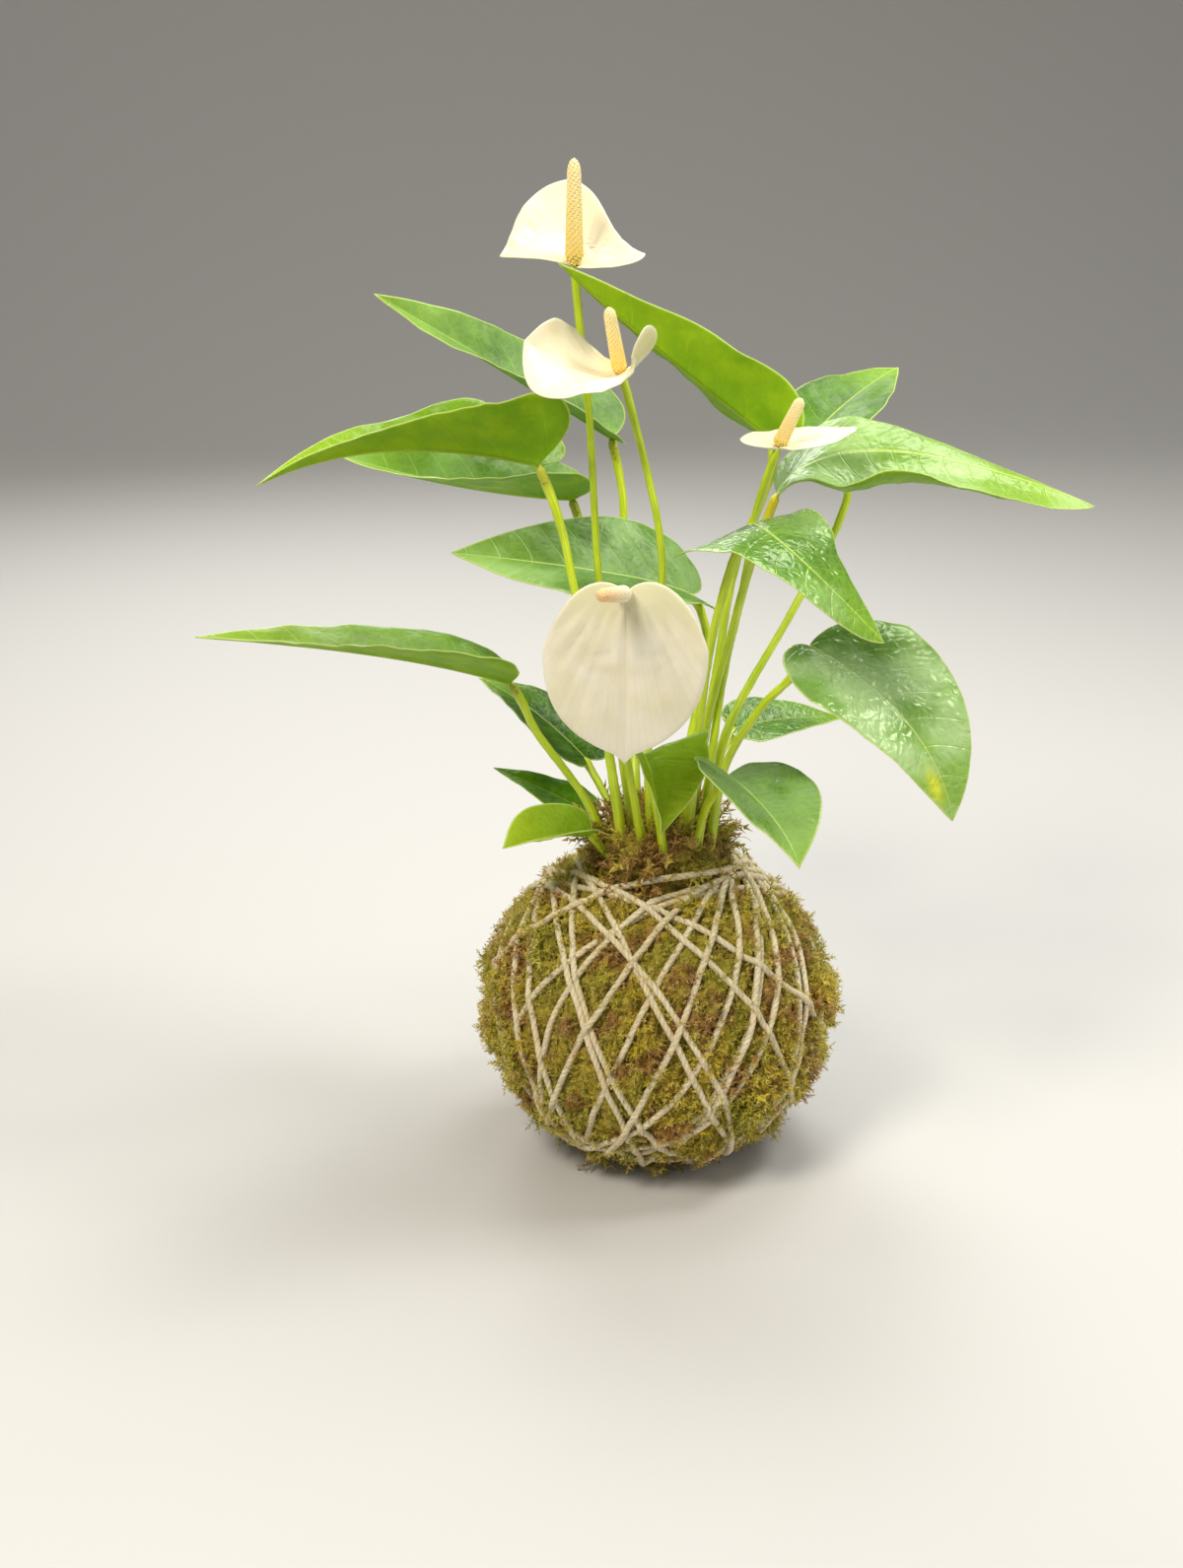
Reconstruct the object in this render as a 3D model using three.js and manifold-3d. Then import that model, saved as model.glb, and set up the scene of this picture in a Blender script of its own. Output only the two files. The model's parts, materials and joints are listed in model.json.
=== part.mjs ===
// A kokedama: a moss ball tied with cotton twine, holding a small white-flowered anthurium.
// Millimetres, +Z up. The origin is the centre of the flat spot that the ball rests on.
import * as THREE from 'three';
import Module from 'manifold-3d';

const wasm = await Module();
wasm.setup();

// Moss ball: a slightly flattened sphere, pressed flat where it rests. The neck is a cuff of
// moss and fibre that stands in the mouth of the ball round the stems.
const ball = { radius: 61, height: 57.5, centreZ: 55.5, wall: 5.5, mouthRadius: 25.6, lump: 2.2 };
const wall = { segments: 26, outerRows: 12, innerRows: 7, lowestRise: -1.45 };
const soil = { gap: 0.4, throatZ: 102.2, topZ: 103.6 };
const neck = { bottomZ: 104, topZ: 124.5, lump: 1.8, segments: 22 };
// Each ring of the neck: radius, share of the height, share of the lumps.
const neckRings = [
  [24.6, 0, 0], [24.6, 0.25, 0.4], [23.6, 0.5, 1], [22, 0.78, 1], [17.5, 0.97, 1], [11.5, 1, 0],
];
const cord = { radius: 1.45, lift: 0.55, steps: 24, sides: 4 };

// Stems stand in the neck moss and their lower ends are hidden in it.
const stem = {
  rootZ: 108, rootPull: 0.84, sides: 5, steps: 9, taperEnd: 0.4, swellStart: 0.83,
  holeGap: 0.35, holeRise: 3, seatGap: 0.35,
};
const leafStalk = { root: 2.1, middle: 1.45, top: 1.7 };
const flowerStalk = { root: 1.9, middle: 1.25, top: 1.4 };
const blade = { thickness: 0.8, rows: 10, columns: 3, lobeShare: 0.4, rowSpread: 1.3, liftReach: 0.45 };
const spadix = { rings: 9, sides: 8, floret: 0.16, foot: 0.8, roundStart: 0.86, tipShare: 0.2 };

// Each wrap of the twine is a great circle: heading and slope of its axis, in degrees.
const wraps = [
  [-52, 60], [-18, 62], [11, 62], [42, 62], [104, 63], [148, 64], [178, 64], [-152, 60],
];

// Outline of a leaf half: lobe is how far it reaches behind the stalk, corner and square are how
// wide it swings there, belly is where it is widest, and shoulder, flare and point are how full
// it stays on the way to the tip.
const leafShape = {
  width: [44, 44], lobe: [8, 8], corner: [0.2, 0.2], square: [0.5, 0.5], belly: [0.2, 0.2],
  shoulder: [0.3, 0.3], flare: [1, 1], point: [0.16, 0.16],
  fold: [10, 10], curl: [0, 0], lift: [0, 0], wave: 0, waves: 2, phase: 0,
};
const spatheShape = {
  ...leafShape, width: [50, 50], lobe: [5, 5], belly: [0.33, 0.33], shoulder: [0.55, 0.55],
  point: [0.34, 0.34], fold: [4, 4],
};

// base is where the stalk meets the blade, bend steers the midrib, face is where the upper
// side looks at the base and at the tip. Pairs are the left and the right half.
const leaves = [
  { base: [36.5, -1, 261], bend: [1, -3, 288], tip: [-35, -8, 319],
    face: [[0.3, 0.8, 0.75], [0.35, 0.75, 0.6]], width: [36, 42], lobe: [7, 2],
    shoulder: [0.18, 0.18], fold: [36, 36], wave: 1.4, waves: 2.2, phase: 0.1,
    stalk: [[10, 3, 118], [18, 2, 173], [24, -2, 217], [31, -5, 238], [35, -6, 251]] },
  { base: [-17, 70, 250], bend: [-58, 78, 274], tip: [-101, 55.5, 302.5],
    face: [[-0.23, -0.09, 0.97], [0.93, -0.33, 0.15]], width: [42, 42], lobe: [8.5, 2.5],
    belly: [0.19, 0.18], shoulder: [0.32, 0.31], fold: [28, 25],
    stalk: [[-8, 7, 118], [-9, 26, 151], [-10, 44, 179], [-12, 62, 208], [-13, 68, 229]] },
  { base: [-42, -5, 254], bend: [-97, -0.5, 266], tip: [-133, -22, 250],
    face: [[-0.18, 0.29, 0.94], [-0.17, -0.07, 0.98]], width: [55, 45], lobe: [10.5, 10],
    shoulder: [0.18, 0.13], flare: [0.35, 1.1], corner: [0.8, 0.2], square: [0.6, 0.5],
    point: [0.14, 0.07], fold: [36, 35], curl: [7, 20], wave: 2.8, waves: 2.2, phase: 0.34,
    stalk: [[-13, -8, 118], [-21, -14, 171], [-30, -14, 213], [-35, -8, 235]] },
  { base: [-32, 66, 228], bend: [-74, 61, 231], tip: [-115, 56, 245],
    face: [[0, 0.12, 0.98], [0.1, -0.5, 0.85]], width: [50, 50], lobe: [9, 9], fold: [30, 30],
    stalk: [[-14, 4, 118], [-19, 20, 153], [-24, 40, 184], [-27, 60, 209], [-29, 65, 219]] },
  { base: [11, 36, 199], bend: [-3, 30.5, 208], tip: [-74, 28, 216],
    face: [[0.21, -0.36, 0.91], [-0.1, -0.66, 0.74]], width: [55.5, 52], lobe: [9, 9],
    belly: [0.34, 0.26], shoulder: [0.33, 0.29], fold: [28, 8],
    stalk: [[4, 9, 118], [12, 20, 153], [17, 29, 180], [15, 34, 193]] },
  { base: [-52, -10, 180], bend: [-89, -8.5, 191.5], tip: [-160, -4, 194],
    face: [[-0.2, 0.21, 0.96], [0, -0.09, 1]], width: [48, 43], lobe: [3, 1], belly: [0.21, 0.21],
    shoulder: [0.21, 0.23], corner: [0.45, 0.21], square: [0.76, 0.53], fold: [21, 16],
    curl: [-3, 6], stalk: [[-20, -2, 118], [-27, -2, 135], [-43, -7, 160], [-48, -10, 172]] },
  { base: [-27, 32, 138], bend: [-47, 46, 155], tip: [-67, 60, 160],
    face: [[0.4, -0.3, 0.85], [0.4, -0.3, 0.85]], width: [34, 34], lobe: [6, 6], fold: [15, 15],
    stalk: [[-15, 11, 118], [-19, 19, 127]] },
  { base: [-25, 26, 118], bend: [-43, 33, 126], tip: [-61, 40, 131],
    face: [[0.3, -0.3, 0.9], [0.3, -0.3, 0.9]], width: [20, 20], lobe: [3, 3],
    stalk: [[-20, 5, 114], [-23, 16, 113]] },
  { base: [-25, -14, 126], bend: [-39, -20, 129], tip: [-55, -26, 125],
    face: [[0, 0, 1], [0, -0.1, 1]], width: [24, 24], lobe: [2, 2], belly: [0.5, 0.5],
    shoulder: [0.6, 0.6], fold: [25, 50], stalk: [[-19, -10, 116]] },
  { base: [-7, -34, 162], bend: [-4.5, -42, 161], tip: [-1, -46, 138],
    face: [[0.49, -0.79, 0.37], [0.76, -0.5, 0.42]], width: [42.5, 41.5], lobe: [1.5, 4],
    belly: [0.14, 0.22], shoulder: [0.34, 0.2], square: [0.72, 0.5], point: [0.15, 0.15],
    fold: [42, 42], stalk: [[1, -18, 118], [-3, -26, 144]] },
  { base: [21, -43.5, 158], bend: [38, -69.5, 151.5], tip: [41.5, -77, 138.5],
    face: [[0.68, -0.67, 0.29], [0.28, -0.77, 0.57]], width: [40, 41.5], lobe: [3.5, 10],
    belly: [0.18, 0.12], shoulder: [0.54, 0.38], flare: [1.28, 0.92], corner: [0.22, 0.17],
    square: [0.47, 0.3], point: [0.14, 0.08], fold: [21, 18], lift: [3.5, -4],
    stalk: [[12, -15, 118], [15, -21, 138]] },
  { base: [49, -18, 195], bend: [87, -51, 181], tip: [94, -52, 145],
    face: [[0.16, -0.56, 0.81], [0.28, -0.83, 0.48]], width: [57, 43.5], lobe: [2, 6],
    belly: [0.23, 0.23], shoulder: [0.5, 0.39], flare: [0.91, 0.83], corner: [0.1, 0.04],
    square: [0.36, 0.44], point: [0.18, 0.22], fold: [5, 6],
    stalk: [[17, -10, 118], [22, -12, 150], [33, -16, 172], [43, -18, 184]] },
  { base: [28, -28, 239], bend: [32, -74, 246.5], tip: [67, -62, 208.5],
    face: [[-0.41, 0.11, 0.9], [0.68, -0.58, 0.44]], width: [37, 57], lobe: [0, 6],
    belly: [0.26, 0.02], shoulder: [0.36, 0.31], flare: [1.21, 0.4], corner: [0.15, 0.05],
    square: [0.49, 0.33], point: [0.16, 0.24], fold: [-6, -6], curl: [10, 16],
    stalk: [[9, -9, 118], [14, -16, 182], [19, -24, 215], [24, -28, 232]] },
  { base: [38, 4, 242], bend: [56, 8, 273], tip: [139.5, -21.5, 243],
    face: [[-0.99, 0.1, -0.11], [0.77, -0.34, 0.54]], width: [54.5, 67], lobe: [0, 0],
    belly: [0.15, 0.2], shoulder: [0.08, 0.08], flare: [0.35, 1.3], corner: [0.69, 0],
    square: [0.7, 0.25], point: [0.06, 0.37], fold: [-2, -23], curl: [3, 89], wave: 3.5,
    waves: 1.78, phase: 1.27, stalk: [[15, -2, 118], [21, 6, 172], [29, 8, 211], [35, 5, 232]] },
  { base: [55, 50, 254], bend: [72, 66, 268], tip: [89, 82, 273],
    face: [[-0.3, -0.3, 0.9], [-0.2, -0.3, 0.9]], lobe: [7, 7], fold: [12, 12],
    stalk: [[18, 4, 118], [24, 14, 154], [47, 34, 191], [64, 47, 220], [68, 52, 238]] },
  { base: [30, 52, 143], bend: [51, 59, 146], tip: [72, 66, 142],
    face: [[0, -0.35, 0.9], [0, -0.3, 0.9]], width: [26, 26], lobe: [4, 4],
    stalk: [[11, 12, 118], [18, 26, 128], [24, 41, 136]] },
];

const flowers = [
  { base: [-30, 3, 317], bend: [-31.5, 14.5, 320.5], tip: [-31, 30.5, 342.5],
    face: [[0.09, -0.48, 0.87], [-0.02, -0.96, 0.29]], width: [48.5, 47], lobe: [0.5, 4.5],
    belly: [0.09, 0.08], shoulder: [0.35, 0.38], flare: [0.72, 0.42], corner: [0.12, 0.1],
    square: [0.43, 0.5], point: [0.42, 0.29], fold: [16, 6], curl: [-25, 3],
    spadix: { tip: [-30, 5, 350], root: 2.9, top: 1.9 },
    stalk: [[-9, -3, 118], [-17, 0, 174], [-22, 2, 214], [-25, 3, 266], [-28, 3, 295]] },
  { base: [-15, -14, 285], bend: [-21.5, -16, 280], tip: [-45.5, -24.5, 296.5],
    face: [[0.07, -0.29, 0.95], [-0.65, -0.52, 0.56]], width: [44.5, 41], lobe: [17.5, 2],
    belly: [0.51, 0.42], shoulder: [0.59, 0.49], flare: [1.1, 0.75], corner: [0.36, 0.2],
    square: [0.5, 0.37], point: [0.36, 0.34], fold: [17, -1], curl: [4, 10], lift: [12, 5.5],
    spadix: { tip: [-19, -18, 306], root: 2.4, top: 1.8 },
    stalk: [[-3, -6, 118], [-5, -14, 164], [-1, -15, 210], [-2, -15, 233], [-7, -14, 256],
      [-12, -14, 275]] },
  { base: [35, -30, 264], bend: [43.5, -25.5, 264], tip: [61.5, -11, 267],
    face: [[-0.1, -0.05, 0.99], [-0.14, 0.17, 0.97]], width: [33, 29.5], lobe: [11, 1],
    belly: [0.29, 0.37], shoulder: [0.83, 0.49], flare: [1.25, 0.87], corner: [0.11, 0.52],
    square: [0.48, 0.48], point: [0.4, 0.19], fold: [10, 4],
    spadix: { tip: [42, -28, 279], root: 2.4, top: 1.7 },
    stalk: [[7, -3, 118], [15, -8, 162], [23, -12, 199], [27, -15, 219], [29, -18, 238],
      [32, -23, 252]] },
  { base: [-14, -72, 227], bend: [-14, -75, 203], tip: [-14, -66, 172],
    face: [[0, -0.97, 0.2], [0, -0.98, -0.1]], width: [51, 51], square: [0.36, 0.36],
    curl: [-10, -10], spadix: { tip: [-22, -94, 232], root: 2.5, top: 1.8 },
    stalk: [[-6, -13, 118], [-14, -38, 172], [-14, -56, 202], [-14, -66, 220]] },
];

const vector = (p) => new THREE.Vector3(...p);
const degrees = (angle) => THREE.MathUtils.degToRad(angle);

// Closed mesh from points and triangles.
function closedGeometry(points, triangles) {
  const geometry = new THREE.BufferGeometry();
  const values = points.flatMap((p) => [p.x, p.y, p.z]);
  geometry.setAttribute('position', new THREE.Float32BufferAttribute(values, 3));
  geometry.setIndex(triangles.flat());
  geometry.computeVertexNormals();
  return geometry;
}

function toSolid(geometry) {
  const vertProperties = new Float32Array(geometry.attributes.position.array);
  const triVerts = new Uint32Array(geometry.index.array);
  return new wasm.Manifold(new wasm.Mesh({ numProp: 3, vertProperties, triVerts }));
}

function toGeometry(solid) {
  const mesh = solid.getMesh();
  const geometry = new THREE.BufferGeometry();
  const values = [];
  for (let i = 0; i < mesh.vertProperties.length; i += mesh.numProp) {
    values.push(...mesh.vertProperties.slice(i, i + 3));
  }
  geometry.setAttribute('position', new THREE.Float32BufferAttribute(values, 3));
  geometry.setIndex([...mesh.triVerts]);
  geometry.computeVertexNormals();
  return geometry;
}

// Rings of equal length, joined in order, with a point or a flat fan at each end.
function loft(rings) {
  const count = rings[0].length;
  const points = rings.flat();
  const triangles = [];
  for (let r = 0; r + 1 < rings.length; r += 1) {
    for (let i = 0; i < count; i += 1) {
      const a = r * count + i;
      const b = r * count + ((i + 1) % count);
      triangles.push([a, b, b + count], [a, b + count, a + count]);
    }
  }
  const ends = [rings[0], rings[rings.length - 1]];
  ends.forEach((ring, end) => {
    const centre = new THREE.Vector3();
    ring.forEach((p) => centre.addScaledVector(p, 1 / count));
    const hub = points.push(centre) - 1;
    const start = end === 0 ? 0 : (rings.length - 1) * count;
    for (let i = 0; i < count; i += 1) {
      const a = start + i;
      const b = start + ((i + 1) % count);
      triangles.push(end === 0 ? [hub, b, a] : [hub, a, b]);
    }
  });
  return closedGeometry(points, triangles);
}

// Rings round a path, kept from twisting by carrying one side vector along it.
function ringsAlong(path, radii, sides) {
  const last = path.length - 1;
  let side = null;
  return path.map((p, i) => {
    const ahead = path[Math.min(i + 1, last)].clone().sub(path[Math.max(i - 1, 0)]).normalize();
    if (!side) {
      side = Math.abs(ahead.z) > 0.9 ? new THREE.Vector3(1, 0, 0) : new THREE.Vector3(0, 0, 1);
    }
    side = side.clone().addScaledVector(ahead, -side.dot(ahead)).normalize();
    const other = ahead.clone().cross(side);
    return Array.from({ length: sides }, (_, k) => {
      const angle = (2 * Math.PI * k) / sides;
      return p.clone()
        .addScaledVector(side, radii[i] * Math.cos(angle))
        .addScaledVector(other, radii[i] * Math.sin(angle));
    });
  });
}

// Soft lumps of the packed moss, from 0 to 1 over the ball.
function lumps(angle, rise) {
  const slow = Math.sin(3 * angle + 2.1 * rise) * Math.cos(2.3 * rise + 0.7);
  const quick = Math.sin(7 * angle - 3.2 * rise) * Math.sin(5.1 * rise + angle);
  return 0.5 + 0.28 * slow + 0.22 * quick;
}

// Solid of revolution whose outer wall is pressed in by the lumps, from [radius, z, depth].
function lumpyRevolution(profile, segments) {
  const rings = profile.map(([radius, z, depth]) => (
    Array.from({ length: segments }, (_, i) => {
      const angle = (2 * Math.PI * i) / segments;
      const dent = depth * (1 - lumps(angle, z / 20));
      const r = radius - dent;
      return new THREE.Vector3(r * Math.cos(angle), r * Math.sin(angle), z);
    })
  ));
  return loft(rings);
}

// The ball's profile at a depth under its surface, between two rises in radians, as [radius, z].
function wallProfile(depth, from, to, rows) {
  return Array.from({ length: rows + 1 }, (_, i) => {
    const rise = from + ((to - from) * i) / rows;
    return [
      (ball.radius - depth) * Math.cos(rise),
      ball.centreZ + (ball.height - depth) * Math.sin(rise),
    ];
  });
}

function makeMossCover() {
  const outerMouth = Math.acos(ball.mouthRadius / ball.radius);
  const innerMouth = Math.acos(ball.mouthRadius / (ball.radius - ball.wall));
  const flat = Math.asin(-ball.centreZ / ball.height);
  const outer = wallProfile(0, flat, outerMouth, wall.outerRows);
  const inner = wallProfile(ball.wall, wall.lowestRise, innerMouth, wall.innerRows).reverse();
  const profile = [
    ...outer.map(([r, z], i) => [r, z, i === 0 || i === wall.outerRows ? 0 : ball.lump]),
    ...inner.map(([r, z]) => [r, z, 0]),
  ];
  return lumpyRevolution(profile, wall.segments);
}

// The soil fills the cover and stands up into its mouth.
function makeSoilCore() {
  const mouth = Math.acos(ball.mouthRadius / (ball.radius - ball.wall));
  const body = wallProfile(ball.wall + soil.gap, wall.lowestRise, mouth, wall.innerRows);
  const throat = ball.mouthRadius - 2 * soil.gap;
  const profile = [...body, [throat, soil.throatZ], [throat, soil.topZ]];
  return lumpyRevolution(profile.map(([r, z]) => [r, z, 0]), wall.segments);
}

// Moss and fibre round the stems, with a blind hole for each stem.
function makeNeckMoss(stemHoles) {
  const profile = neckRings.map(([radius, share, rough]) => (
    [radius, THREE.MathUtils.lerp(neck.bottomZ, neck.topZ, share), rough * neck.lump]));
  let solid = toSolid(lumpyRevolution(profile, neck.segments));
  stemHoles.forEach((hole) => {
    solid = solid.subtract(toSolid(hole));
  });
  return toGeometry(solid);
}

// One wrap of the twine round the ball, as a closed tube.
function wrapTube([heading, slope]) {
  const turn = degrees(heading);
  const tilt = degrees(slope);
  const axis = new THREE.Vector3(
    Math.sin(tilt) * Math.cos(turn), Math.sin(tilt) * Math.sin(turn), Math.cos(tilt));
  const across = new THREE.Vector3(-Math.sin(turn), Math.cos(turn), 0);
  const up = axis.clone().cross(across);
  const rest = ball.radius + cord.lift + cord.radius;
  const flatten = (ball.height + cord.lift + cord.radius) / rest;
  const path = Array.from({ length: cord.steps }, (_, i) => {
    const angle = (2 * Math.PI * i) / cord.steps;
    const p = across.clone().multiplyScalar(rest * Math.cos(angle))
      .addScaledVector(up, rest * Math.sin(angle));
    return new THREE.Vector3(p.x, p.y, ball.centreZ + p.z * flatten);
  });
  const rings = path.map((p, i) => {
    const ahead = path[(i + 1) % cord.steps].clone()
      .sub(path[(i + cord.steps - 1) % cord.steps]).normalize();
    const outward = p.clone().sub(new THREE.Vector3(0, 0, ball.centreZ));
    outward.addScaledVector(ahead, -outward.dot(ahead)).normalize();
    const sideways = ahead.clone().cross(outward);
    return Array.from({ length: cord.sides }, (_, k) => {
      const angle = (2 * Math.PI * (k + 0.5)) / cord.sides;
      return p.clone()
        .addScaledVector(outward, cord.radius * Math.cos(angle))
        .addScaledVector(sideways, cord.radius * Math.sin(angle));
    });
  });
  const triangles = [];
  for (let r = 0; r < cord.steps; r += 1) {
    for (let k = 0; k < cord.sides; k += 1) {
      const a = r * cord.sides + k;
      const b = r * cord.sides + ((k + 1) % cord.sides);
      const c = ((r + 1) % cord.steps) * cord.sides + k;
      const d = ((r + 1) % cord.steps) * cord.sides + ((k + 1) % cord.sides);
      triangles.push([a, b, d], [a, d, c]);
    }
  }
  return closedGeometry(rings.flat(), triangles);
}

function makeTwine() {
  const tubes = wraps.map((wrap) => toSolid(wrapTube(wrap)));
  return toGeometry(tubes.reduce((all, tube) => all.add(tube)));
}

const quadratic = (a, b, c, t) => (
  a.clone().multiplyScalar((1 - t) ** 2).addScaledVector(b, 2 * t * (1 - t)).addScaledVector(c, t * t)
);

const cubic = (a, b, c, d, t) => (
  (1 - t) ** 3 * a + 3 * t * (1 - t) ** 2 * b + 3 * t * t * (1 - t) * c + t ** 3 * d
);

// Margin of one leaf half at share u of the way from the stalk round the lobe to the tip.
function marginPoint(shape, side, length, u) {
  const half = shape.width[side] / 2;
  const lobe = shape.lobe[side];
  const widest = shape.belly[side] * length;
  const rest = length - widest;
  if (u < blade.lobeShare) {
    const t = u / blade.lobeShare;
    return {
      along: cubic(0, -1.25 * lobe, -1.15 * lobe, widest, t),
      out: cubic(0, shape.corner[side], 2 * shape.square[side], 1, t) * half,
    };
  }
  const t = (u - blade.lobeShare) / (1 - blade.lobeShare);
  return {
    along: cubic(widest, widest + rest * shape.shoulder[side], widest + 0.8 * rest, length, t),
    out: cubic(1, shape.flare[side], 2 * shape.point[side], 0, t) * half,
  };
}

// Midrib of a blade with the directions along it, up from it and to its right.
function midribOf(shape) {
  const [base, bend, tip] = [shape.base, shape.bend, shape.tip].map(vector);
  const samples = 100;
  const lengths = [0];
  let previous = base;
  for (let i = 1; i <= samples; i += 1) {
    const p = quadratic(base, bend, tip, i / samples);
    lengths.push(lengths[i - 1] + p.distanceTo(previous));
    previous = p;
  }
  const length = lengths[samples];
  const share = (distance) => {
    const wanted = Math.min(Math.max(distance, 0), length);
    const i = Math.max(1, lengths.findIndex((l) => l >= wanted - 1e-9));
    return (i - 1 + (wanted - lengths[i - 1]) / (lengths[i] - lengths[i - 1])) / samples;
  };
  const frameAt = (distance) => {
    const t = share(distance);
    const ahead = bend.clone().sub(base).multiplyScalar(1 - t)
      .addScaledVector(tip.clone().sub(bend), t).normalize();
    const place = quadratic(base, bend, tip, t).addScaledVector(ahead, Math.min(distance, 0));
    const up = vector(shape.face[0]).multiplyScalar(1 - t).addScaledVector(vector(shape.face[1]), t);
    up.addScaledVector(ahead, -up.dot(ahead)).normalize();
    return { place, ahead, up, right: ahead.clone().cross(up) };
  };
  return { length, frameAt };
}

// Point of the blade's middle surface: u from stalk to tip, v from -1 (left) to 1 (right).
function bladePoint(shape, midrib, u, v) {
  const side = v < 0 ? 0 : 1;
  const spread = Math.abs(v);
  const edge = marginPoint(shape, side, midrib.length, u);
  const centre = midrib.length * u ** blade.rowSpread;
  const along = centre + (edge.along - centre) * spread;
  const half = shape.width[side] / 2;
  const reach = (edge.out * spread) / half;
  const fold = degrees(shape.fold[side]);
  const curl = degrees(shape.curl[side]);
  let out = half * reach * Math.cos(fold);
  let rise = half * reach * Math.sin(fold);
  if (Math.abs(curl) > 1e-4) {
    out = (half * (Math.sin(fold + curl * reach) - Math.sin(fold))) / curl;
    rise = (half * (Math.cos(fold) - Math.cos(fold + curl * reach))) / curl;
  }
  const ripple = 2 * Math.PI * ((shape.waves * along) / midrib.length + shape.phase) + 1.7 * side;
  rise += shape.wave * reach * reach * Math.sin(ripple);
  const nearBase = Math.min(Math.max(1 - along / (blade.liftReach * midrib.length), 0), 2);
  rise += shape.lift[side] * reach * reach * nearBase ** 1.5;
  const { place, up, right } = midrib.frameAt(along);
  return place.addScaledVector(right, (v < 0 ? -1 : 1) * out).addScaledVector(up, rise);
}

// Thin solid on both sides of the blade's middle surface, split into triangles alike.
function makeBlade(shape) {
  const midrib = midribOf(shape);
  const columns = 2 * blade.columns;
  const grid = [];
  for (let i = 0; i <= blade.rows; i += 1) {
    const u = i / blade.rows;
    grid.push(Array.from({ length: columns + 1 }, (_, j) => (
      bladePoint(shape, midrib, u, -1 + (2 * j) / columns))));
  }
  const pointed = (i) => i === 0 || i === blade.rows;
  const normalAt = (i, j) => {
    const sum = new THREE.Vector3();
    const rows = [Math.max(i - 1, 0), Math.min(i + 1, blade.rows)];
    const list = pointed(i) ? Array.from({ length: columns - 1 }, (_, k) => k + 1) : [j];
    const row = Math.min(Math.max(i, 1), blade.rows - 1);
    list.forEach((k) => {
      const across = grid[row][Math.min(k + 1, columns)].clone().sub(grid[row][Math.max(k - 1, 0)]);
      const along = grid[rows[1]][k].clone().sub(grid[rows[0]][k]);
      sum.add(across.cross(along).normalize());
    });
    return sum.normalize();
  };
  const points = [];
  const ids = grid.map((row, i) => row.map((p, j) => {
    if (pointed(i) && j > 0) {
      return null;
    }
    const normal = normalAt(i, j).multiplyScalar(blade.thickness / 2);
    points.push(p.clone().add(normal), p.clone().sub(normal));
    return points.length - 2;
  }));
  const idAt = (i, j) => (pointed(i) ? ids[i][0] : ids[i][j]);
  const triangles = [];
  const skin = (a, b, c) => {
    if (a !== b && b !== c && a !== c) {
      triangles.push([a, b, c], [a + 1, c + 1, b + 1]);
    }
  };
  for (let i = 0; i < blade.rows; i += 1) {
    for (let j = 0; j < columns; j += 1) {
      const [a, b, c, d] = [idAt(i, j), idAt(i, j + 1), idAt(i + 1, j + 1), idAt(i + 1, j)];
      if ((j < blade.columns) === (i % 2 === 0)) {
        skin(a, b, c);
        skin(a, c, d);
      } else {
        skin(a, b, d);
        skin(b, c, d);
      }
    }
    [[0, true], [columns, false]].forEach(([j, left]) => {
      const [a, b] = [idAt(i, j), idAt(i + 1, j)];
      const rim = left ? [[a, b, b + 1], [a, b + 1, a + 1]] : [[b, a, a + 1], [b, a + 1, b + 1]];
      triangles.push(...rim);
    });
  }
  return closedGeometry(points, triangles);
}

// Where the centre of a round end stops, so that it meets the blade's foot from above or below.
function seatOn(shape, towards, radius, side) {
  const { up } = midribOf(shape).frameAt(0);
  const lean = Math.sin(towards.angleTo(up));
  const distance = blade.thickness / 2 + stem.seatGap + radius * lean;
  return vector(shape.base).addScaledVector(up, side * distance);
}

function stalkPath(shape, radii) {
  const first = vector(shape.stalk[0]);
  const root = new THREE.Vector3(first.x * stem.rootPull, first.y * stem.rootPull, stem.rootZ);
  const lastKnot = vector(shape.stalk[shape.stalk.length - 1]);
  const end = seatOn(shape, vector(shape.base).sub(lastKnot), radii.top, -1);
  const knots = [root, ...shape.stalk.map(vector), end];
  return new THREE.CatmullRomCurve3(knots, false, 'catmullrom', 0.5).getSpacedPoints(stem.steps);
}

function stalkRadii(path, radii) {
  const last = path.length - 1;
  return path.map((_, i) => {
    const share = i / last;
    const base = THREE.MathUtils.lerp(radii.root, radii.middle, Math.min(share / stem.taperEnd, 1));
    const swell = Math.max(0, (share - stem.swellStart) / (1 - stem.swellStart));
    return THREE.MathUtils.lerp(base, radii.top, swell);
  });
}

function makeStalk(shape, radii) {
  const path = stalkPath(shape, radii);
  return loft(ringsAlong(path, stalkRadii(path, radii), stem.sides));
}

// The same stalk, thicker by the gap and cut off above the neck, as a tool for its hole.
function stalkHole(shape, radii) {
  const path = stalkPath(shape, radii);
  const sizes = stalkRadii(path, radii).map((r) => (r + stem.holeGap) / Math.cos(Math.PI / stem.sides));
  const under = path[0].clone().addScaledVector(path[1].clone().sub(path[0]).normalize(), -stem.holeGap);
  const end = path.findIndex((p) => p.z > neck.topZ + stem.holeRise) + 1;
  const kept = end > 0 ? end : path.length;
  return loft(ringsAlong([under, ...path.slice(0, kept)], [sizes[0], ...sizes], stem.sides));
}

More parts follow.
